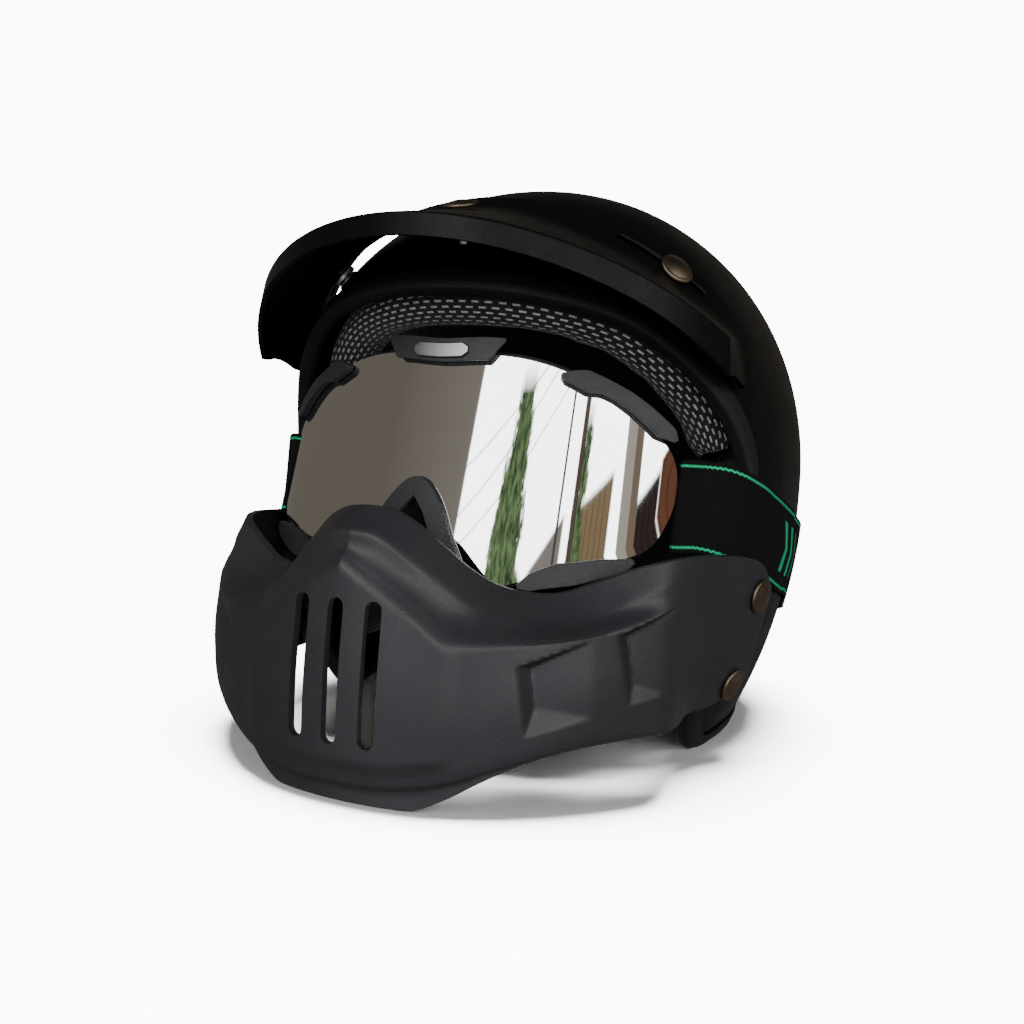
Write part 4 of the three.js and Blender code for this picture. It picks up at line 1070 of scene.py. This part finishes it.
def make_goggles():
    u, v = grid(260, 26, ring=True)
    rim = lens_curve(u)
    x, z = rim[..., 0] * v, mix(LENS_CENTRE_Z, rim[..., 1], v)
    obj = wall("lens_shield", lens_point(x, z, 0), lens_point(x, z, -LENS["wall"]), ring=True)
    settle(obj, "goggles", "mirror_lens", MIRROR, "goggle_lens")
    keep_lamps_off(obj)
    back = FRAME_FRONT - FRAME_DEPTH
    section = rounded([(-5, back), (2, back), (2, FRAME_FRONT - 4.5), (0.6, FRAME_FRONT - 3.2),
                       (1.6, FRAME_FRONT), (-5, FRAME_FRONT)], 0.8, 3)
    settle(lens_band("goggle_body", section), "goggles", "goggle_plastic", PLASTIC, "goggle_frame")
    far = back - 0.4 - FOAM_DEPTH
    section = rounded([(-5.9, far + 0.1), (0.9, far + 0.1), (0.9, back - 0.5), (-5.9, back - 0.5)], 2.6, 5)
    foam = lens_band("face_padding", section)
    settle(foam, "goggles", "face_foam", FACE_FOAM, "goggle_foam")
    clip("top_clip", "lens_clip_top", (-0.052, 0.052), TOP_CLIP_LOW, TOP_CLIP_HIGH)
    clip("blank_badge", "badge_plate", (-0.0245, 0.0245), BADGE_LOW, BADGE_HIGH, (3.65, 4.6), SILVER,
         "silver_plate", edge=0.35)
    clip("nose_bridge", "nose_cover", (0.41, 0.59), NOSE_LOW, NOSE_HIGH, steps=90)
    for name, side in SIDES:
        for level, span, low, high in (("upper", (0.100, 0.195), UPPER_LOW, UPPER_HIGH),
                                       ("lower", (0.295, 0.372), LOWER_LOW, LOWER_HIGH)):
            span = side * np.array(span)
            clip(f"{level}_clip_{name}", f"lens_clip_{level}_{name}", span, low, high)


make_goggles()

# ---- goggle strap

strap_elevation = curve_through(STRAP_LINE)
STRAP_REACH = (SHELL["half_width"] + SHELL["rear"]) / 2
LENS_SIDE = 48.3
STRAP_FRONT_LENGTH = 64.0
STRIPE_GREEN = (0.012, 0.42, 0.19)
CHEVRONS = (186.0, 214.0)


def strap_on_shell(side, azimuth, a, b):
    near = np.minimum(azimuth, 360 - azimuth)
    lift = 0.7 + 1.5 * (1 - smoothstep(near, 67, 75)) + b
    rise = np.degrees(a / STRAP_REACH) * np.where(azimuth < 90, 1.06, 1.0)
    return on_shell(direction(side * azimuth, strap_elevation(near) + rise), lift)


def elastic():
    """Woven elastic with a zig-zag line along each edge. UV is in millimetres along and across."""
    s = Shader("woven_elastic", roughness=0.9, specular_ior_level=0.15)
    along, across, _ = s.split("UV")
    weave = s.maths("MULTIPLY_ADD", s.times(s.wave(along, 1.1), s.wave(across, 0.9)), 0.5, 0.5)
    from_edge = s.maths("MINIMUM", across, s.minus(STRAP["width"], across))
    zigzag = s.maths("MULTIPLY_ADD", s.maths("PINGPONG", along, 0.9), 0.55, 2.2)
    stripe = s.falling(s.apart(from_edge, zigzag), 0.4, 0.65)
    slanted = s.maths("ADD", along, s.times(s.apart(across, STRAP["width"] / 2), 0.55))
    bars = s.falling(s.apart(s.maths("MODULO", slanted, 13.0), 6.5), 2.1, 2.5)
    first, last = CHEVRONS
    window = s.times(s.maths("GREATER_THAN", slanted, first), s.maths("LESS_THAN", slanted, last))
    chevron = s.times(s.times(bars, window), s.maths("GREATER_THAN", from_edge, 8.5))
    black = s.blend(s.noise(220, 3), (0.0035, 0.0035, 0.004), (0.007, 0.007, 0.0075))
    green = s.blend(s.noise(900, 2), STRIPE_GREEN, [c * 1.5 for c in STRIPE_GREEN])
    tone = s.blend(s.maths("MAXIMUM", stripe, chevron), black, green)
    s.set(base_color=s.blend(1.0, tone, s.remap(weave, 0, 1, 0.72, 1.1), "MULTIPLY"),
          normal=s.bump(weave, 0.6, 0.0004))
    return s.material


ELASTIC = elastic()


def band_section(across=24):
    """The strap's section as (a, b) points, close enough together to carry the pattern."""
    half, thick, soft = STRAP["width"] / 2, STRAP["thickness"], 0.35
    lower = [(a, 0.0) for a in np.linspace(-half + soft, half - soft, across)]
    upper = [(a, thick) for a in np.linspace(half - soft, -half + soft, across)]
    edge = [(half, soft), (half, thick - soft)]
    return np.array(lower + edge + upper + [(-half, thick - soft), (-half, soft)])


def band_uv(along, section, width):
    return np.stack(np.broadcast_arrays(along[:, None], section[None, :, 0] + width / 2), axis=-1)


def strap_band(name, surface, start_mm, end_mm, steps):
    section = band_section()
    u = np.linspace(0, 1, steps)
    uv = band_uv(mix(start_mm, end_mm, u), section, STRAP["width"])
    return sweep(name, surface(*spread(u, section)), uv=uv)


def make_goggle_strap():
    height, joint = (OUTRIGGER["low"] + OUTRIGGER["high"]) / 2, STRAP["joint"]
    end = joint * MM_PER_DEGREE
    for name, side in SIDES:
        def front(u, a, b):
            azimuth = mix(STRAP["front"] + 0.5, joint, np.maximum(u - 0.35, 0) / 0.65)
            angle = mix(LENS_SIDE, OUTRIGGER["end"] + 1.8, np.clip(u / 0.45, 0, 1))
            x = side * LENS["radius"] * np.sin(np.radians(angle)) + 0 * a
            held = lens_point(x, height + a * 0.92, -0.4 + b)
            return mix(held, strap_on_shell(side, azimuth, a, b), smoothstep(u, 0.22, 0.5)[..., None])

        obj = strap_band(f"elastic_{name}", front, end - STRAP_FRONT_LENGTH, end, 60)
        settle(obj, None, "elastic_strap", ELASTIC, f"goggle_strap_{name}")
        zero = np.array(0.0)
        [tuple(place(front(zero + u, zero, zero))[0]) for u in (0.45, 0.05)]
        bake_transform(obj)

    def rear(u, a, b):
        return strap_on_shell(1, mix(joint + 0.03, 359.97 - joint, u), a, b)

    obj = strap_band("elastic_rear", rear, end, (360 - joint) * MM_PER_DEGREE, 260)
    settle(obj, "shell", "elastic_strap", ELASTIC, "goggle_strap_rear")


make_goggle_strap()

# ---- padded linings


PAD_ROOM = 1.8
CLOTH_FRAMES = 20


def swell(obj):
    """Remeshes a pad, inflates it as cloth, keeps each point within PAD_ROOM of its start, and smooths it."""
    modify(obj, "REMESH", mode="VOXEL", voxel_size=0.005)
    even = bake(obj)
    start = np.array([v.co for v in even.vertices])
    cloth = modify(obj, "CLOTH")
    cloth.settings.use_pressure = True
    cloth.settings.uniform_pressure_force = 4.0
    cloth.settings.effector_weights.gravity = 0
    cloth.settings.quality = 4
    cloth.point_cache.frame_start, cloth.point_cache.frame_end = 1, CLOTH_FRAMES
    for step in range(1, CLOTH_FRAMES + 1):
        bpy.context.scene.frame_set(step)
    blown = obj.evaluated_get(bpy.context.evaluated_depsgraph_get()).to_mesh()
    moved = np.array([v.co for v in blown.vertices]) - start
    obj.modifiers.clear()
    bpy.context.scene.frame_set(1)
    reach = np.linalg.norm(moved, axis=1, keepdims=True)
    ended = start + moved * np.minimum(1, PAD_ROOM * MM / np.maximum(reach, 1e-9))
    even.vertices.foreach_set("co", ended.ravel())
    modify(obj, "SMOOTH", factor=0.5, iterations=6)
    modify(obj, "SUBSURF", levels=1)
    bake(obj).shade_smooth()
    return obj


DASHES = dict(row=2.75, period=5.5, colour=(0.72, 0.69, 0.64))


def mesh_band():
    """Open knit with rows of pale dashes that follow the rim. UV is in millimetres along and across."""
    s = Shader("dashed_knit", roughness=0.8, sheen_weight=0.2, sheen_roughness=0.5)
    x, y, _ = s.split("UV")
    rows = s.maths("DIVIDE", y, DASHES["row"])
    shifted = s.maths("ADD", s.maths("DIVIDE", x, DASHES["period"]), s.times(s.maths("FLOOR", rows), 0.5))
    along, across = (s.apart(s.maths("FRACT", value), 0.5) for value in (shifted, rows))
    dash = s.times(s.falling(along, 0.25, 0.31), s.falling(across, 0.15, 0.23))
    frayed = s.times(dash, s.remap(s.noise(1500, 3), 0.35, 0.6, 0.5, 1))
    base = s.blend(s.rising(s.wave(x, 0.8), -1, 1), (0.006, 0.006, 0.0065), (0.016, 0.015, 0.0145))
    s.set(base_color=s.blend(frayed, base, DASHES["colour"]), normal=s.bump(dash, 0.8, 0.0006))
    return s.material


BROW_SECTION = [(-2.5, -7), (1, -12), (4, -22), (1, -31), (-9, -35), (-22, -32), (-24, -20), (-23, -7)]
BROW_HALF = 0.165
BROW_MIDDLE = np.array([-13.0, -20.0])
CHEEK = dict(azimuths=(73.5, 96.5), elevations=(-44.5, -15.5), outer=-8.6, inner=-12.0, swell=19.0)
NECK_SECTION = [(9, -7), (28, -7), (31, -13), (28, -21), (18, -25), (9, -21), (6.5, -14)]
NECK_AZIMUTHS = (129.5, 230.5)


def make_brow():
    section = BROW_MIDDLE + (np.array(BROW_SECTION, float) - BROW_MIDDLE) * (1 - PAD_ROOM / 12)
    u = np.linspace(-BROW_HALF + 0.003, BROW_HALF - 0.003, 120)
    obj = swell(sweep("brow_padding", at_edge(*spread(u, rounded(section, 5, 4)))))
    lay_brow_uv(obj.data)
    settle(obj, "shell", "black_fabric", mesh_band(), "brow_roll")


def lay_brow_uv(mesh):
    """Gives the swollen roll millimetres along the rim, and millimetres round its section."""
    points = np.array([v.co for v in mesh.vertices]) / MM - (0, MIDDLE_Y, 0)
    u = np.linspace(-BROW_HALF, BROW_HALF, 400)
    a, b = BROW_MIDDLE
    middle, inside, deep = (at_edge(u, past + 0 * u, lift + 0 * u)
                            for past, lift in ((a, b), (a - 1, b), (a, b - 1)))
    inward, deeper = unit(inside - middle), unit(deep - middle)
    nearest = np.array([np.argmin(np.linalg.norm(middle - p, axis=1)) for p in points])
    away = points - middle[nearest]
    turn = np.arctan2((away * deeper[nearest]).sum(1), -(away * inward[nearest]).sum(1))
    along = np.cross(inward, deeper)
    slip = (away * along[nearest]).sum(1) * np.sign((along[200] * (middle[201] - middle[200])).sum())
    lay_uv(mesh, np.stack([length_along(middle)[nearest] + slip, (turn + np.pi) * 12.5], axis=-1))


def make_cheek_pads():
    for name, side in SIDES:
        u, v = grid(30, 30)
        fall = (1 - (2 * u - 1) ** 4) * (1 - (2 * v - 1) ** 4)
        d = direction(side * mix(*CHEEK["azimuths"], u), mix(*CHEEK["elevations"], v))
        outer, inner = on_shell(d, CHEEK["outer"]), on_shell(d, CHEEK["inner"] - CHEEK["swell"] * fall)
        obj = swell(wall(f"cheek_padding_{name}", outer, inner, sharp=60))
        settle(obj, "shell", "black_fabric", LINER, f"cheek_pad_{name}")


def make_neck_roll():
    section = np.array(NECK_SECTION, float)
    middle = section.mean(axis=0)
    section = rounded(middle + (section - middle) * 0.84, 4, 4)
    obj = swell(sweep("neck_padding", on_shell_at_height(*spread(np.linspace(*NECK_AZIMUTHS, 70), section))))
    settle(obj, "shell", "black_fabric", LINER, "neck_roll")


make_brow()
make_cheek_pads()
make_neck_roll()

# ---- outriggers, sliders, chin strap and buckle

CHIN_STRAP = dict(width=22.0, thickness=1.8)
BUCKLE_AT = dict(x=38.0, y=10.0, z=10.0, length=40.0)
ANCHOR = dict(azimuth=112.0, z=62.0)
TONGUE_START = -33.0
# Both straps pass these points on their way from the anchor, on the wearer's left, and mirrored on the right.
STRAP_BY_JAW = [(98, 38, 42), (89, 29, 23), (76, 16, 12)]


def softened(node, body, slot, material, width):
    """A copy of a CAD node whose edges are rounded over, standing for the node."""
    obj = link(f"{node}_rounded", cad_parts[node].data.copy())
    finish_mesh(obj.data, 34, lambda bm: bmesh.ops.dissolve_limit(
        bm, angle_limit=np.radians(1.5), verts=bm.verts, edges=bm.edges))
    return settle(bevel(obj, width, 2), body, slot, material, node)


def webbing_cloth():
    s = Shader("webbing", roughness=0.8, sheen_weight=0.15, sheen_roughness=0.5)
    x, y, _ = s.split("UV")
    thread = s.wave(s.maths("ADD", x, s.maths("PINGPONG", y, 1.1)), 1.3)
    height = s.maths("MULTIPLY_ADD", s.maths("ADD", s.wave(y, 2.2), thread), 0.25, 0.5)
    s.set(base_color=s.blend(height, (0.005, 0.005, 0.0055), (0.017, 0.017, 0.018)),
          normal=s.bump(height, 0.7, 0.0005))
    return s.material


WEBBING = webbing_cloth()


def open_curve(points, count):
    """Points evenly spaced in parameter on an open centripetal Catmull-Rom curve, with their tangents."""
    p = np.array(points, float)
    p = np.vstack([2 * p[0] - p[1], p, 2 * p[-1] - p[-2]])
    u = np.linspace(0, len(points) - 1, count)
    k = np.minimum(u.astype(int), len(points) - 2)
    point = centripetal(p[k], p[k + 1], p[k + 2], p[k + 3], (u - k)[:, None])
    return point, unit(np.gradient(point, axis=0))


def webbing(name, points, start_width, end_width, count=90):
    point, tangent = open_curve(points, count)
    width = mix(np.array(start_width), np.array(end_width), np.linspace(0, 1, count)[:, None])
    width = unit(width - tangent * (width * tangent).sum(1, keepdims=True))
    normal = np.cross(tangent, width)
    half, thick = CHIN_STRAP["width"] / 2, CHIN_STRAP["thickness"] / 2
    across = np.linspace(-half + 0.4, half - 0.4, 13)
    upper, lower = ([(a, b) for a in across[::turn]] for b, turn in ((thick, -1), (-thick, 1)))
    section = np.array(lower + [(half, 0.0)] + upper + [(-half, 0.0)])
    rings = point[:, None] + width[:, None] * section[None, :, :1] + normal[:, None] * section[None, :, 1:]
    return sweep(name, rings, uv=band_uv(length_along(point), section, 2 * half))


def make_chin_strap():
    x, y, z = BUCKLE_AT["x"], BUCKLE_AT["y"], BUCKLE_AT["z"]
    anchor = on_shell_at_height(ANCHOR["azimuth"], ANCHOR["z"], -9.4)
    width = unit(np.array([-np.cos(np.radians(ANCHOR["azimuth"] - 90)) * 0.4, 1, 0]))
    mirrored = np.array((-1, 1, 1))
    short = [anchor, *STRAP_BY_JAW, (67, 10.5, 10.2), (x + BUCKLE_AT["length"] / 2 + 1, y, z)]
    obj = webbing("webbing_left", short, width, (0, 1, 0))
    settle(obj, "shell", "black_webbing", WEBBING, "chin_strap_left")
    tongue_end = x + TONGUE_START - 0.4
    long = [(tongue_end, y, z - 1.8), (-30, y, 9), (-62, 12, 10), *(mirrored * STRAP_BY_JAW)[::-1],
            anchor * mirrored]
    obj = webbing("webbing_right", long, (0, 1, 0), width * mirrored)
    settle(obj, None, "black_webbing", WEBBING, "chin_strap_right")
    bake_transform(obj)


make_chin_strap()
for side_name, _ in SIDES:
    softened(f"outrigger_{side_name}", "goggles", "goggle_plastic", PLASTIC, 0.8)
    softened(f"strap_slider_{side_name}", "shell", "goggle_plastic", PLASTIC, 0.5)
    softened(f"chin_anchor_{side_name}", "shell", "plated_steel", STEEL, 0.4)
softened("buckle_body", "shell", "buckle_plastic", BUCKLE, 0.6)
softened("buckle_lever", "lever", "buckle_plastic", BUCKLE, 0.4)
softened("buckle_tongue", "tongue", "plated_steel", STEEL, 0.2)
softened("lever_pin", "shell", "plated_steel", STEEL, 0.15)
spring_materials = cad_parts["lever_spring"].data.materials
spring_materials.clear()
spring_materials.append(STEEL)
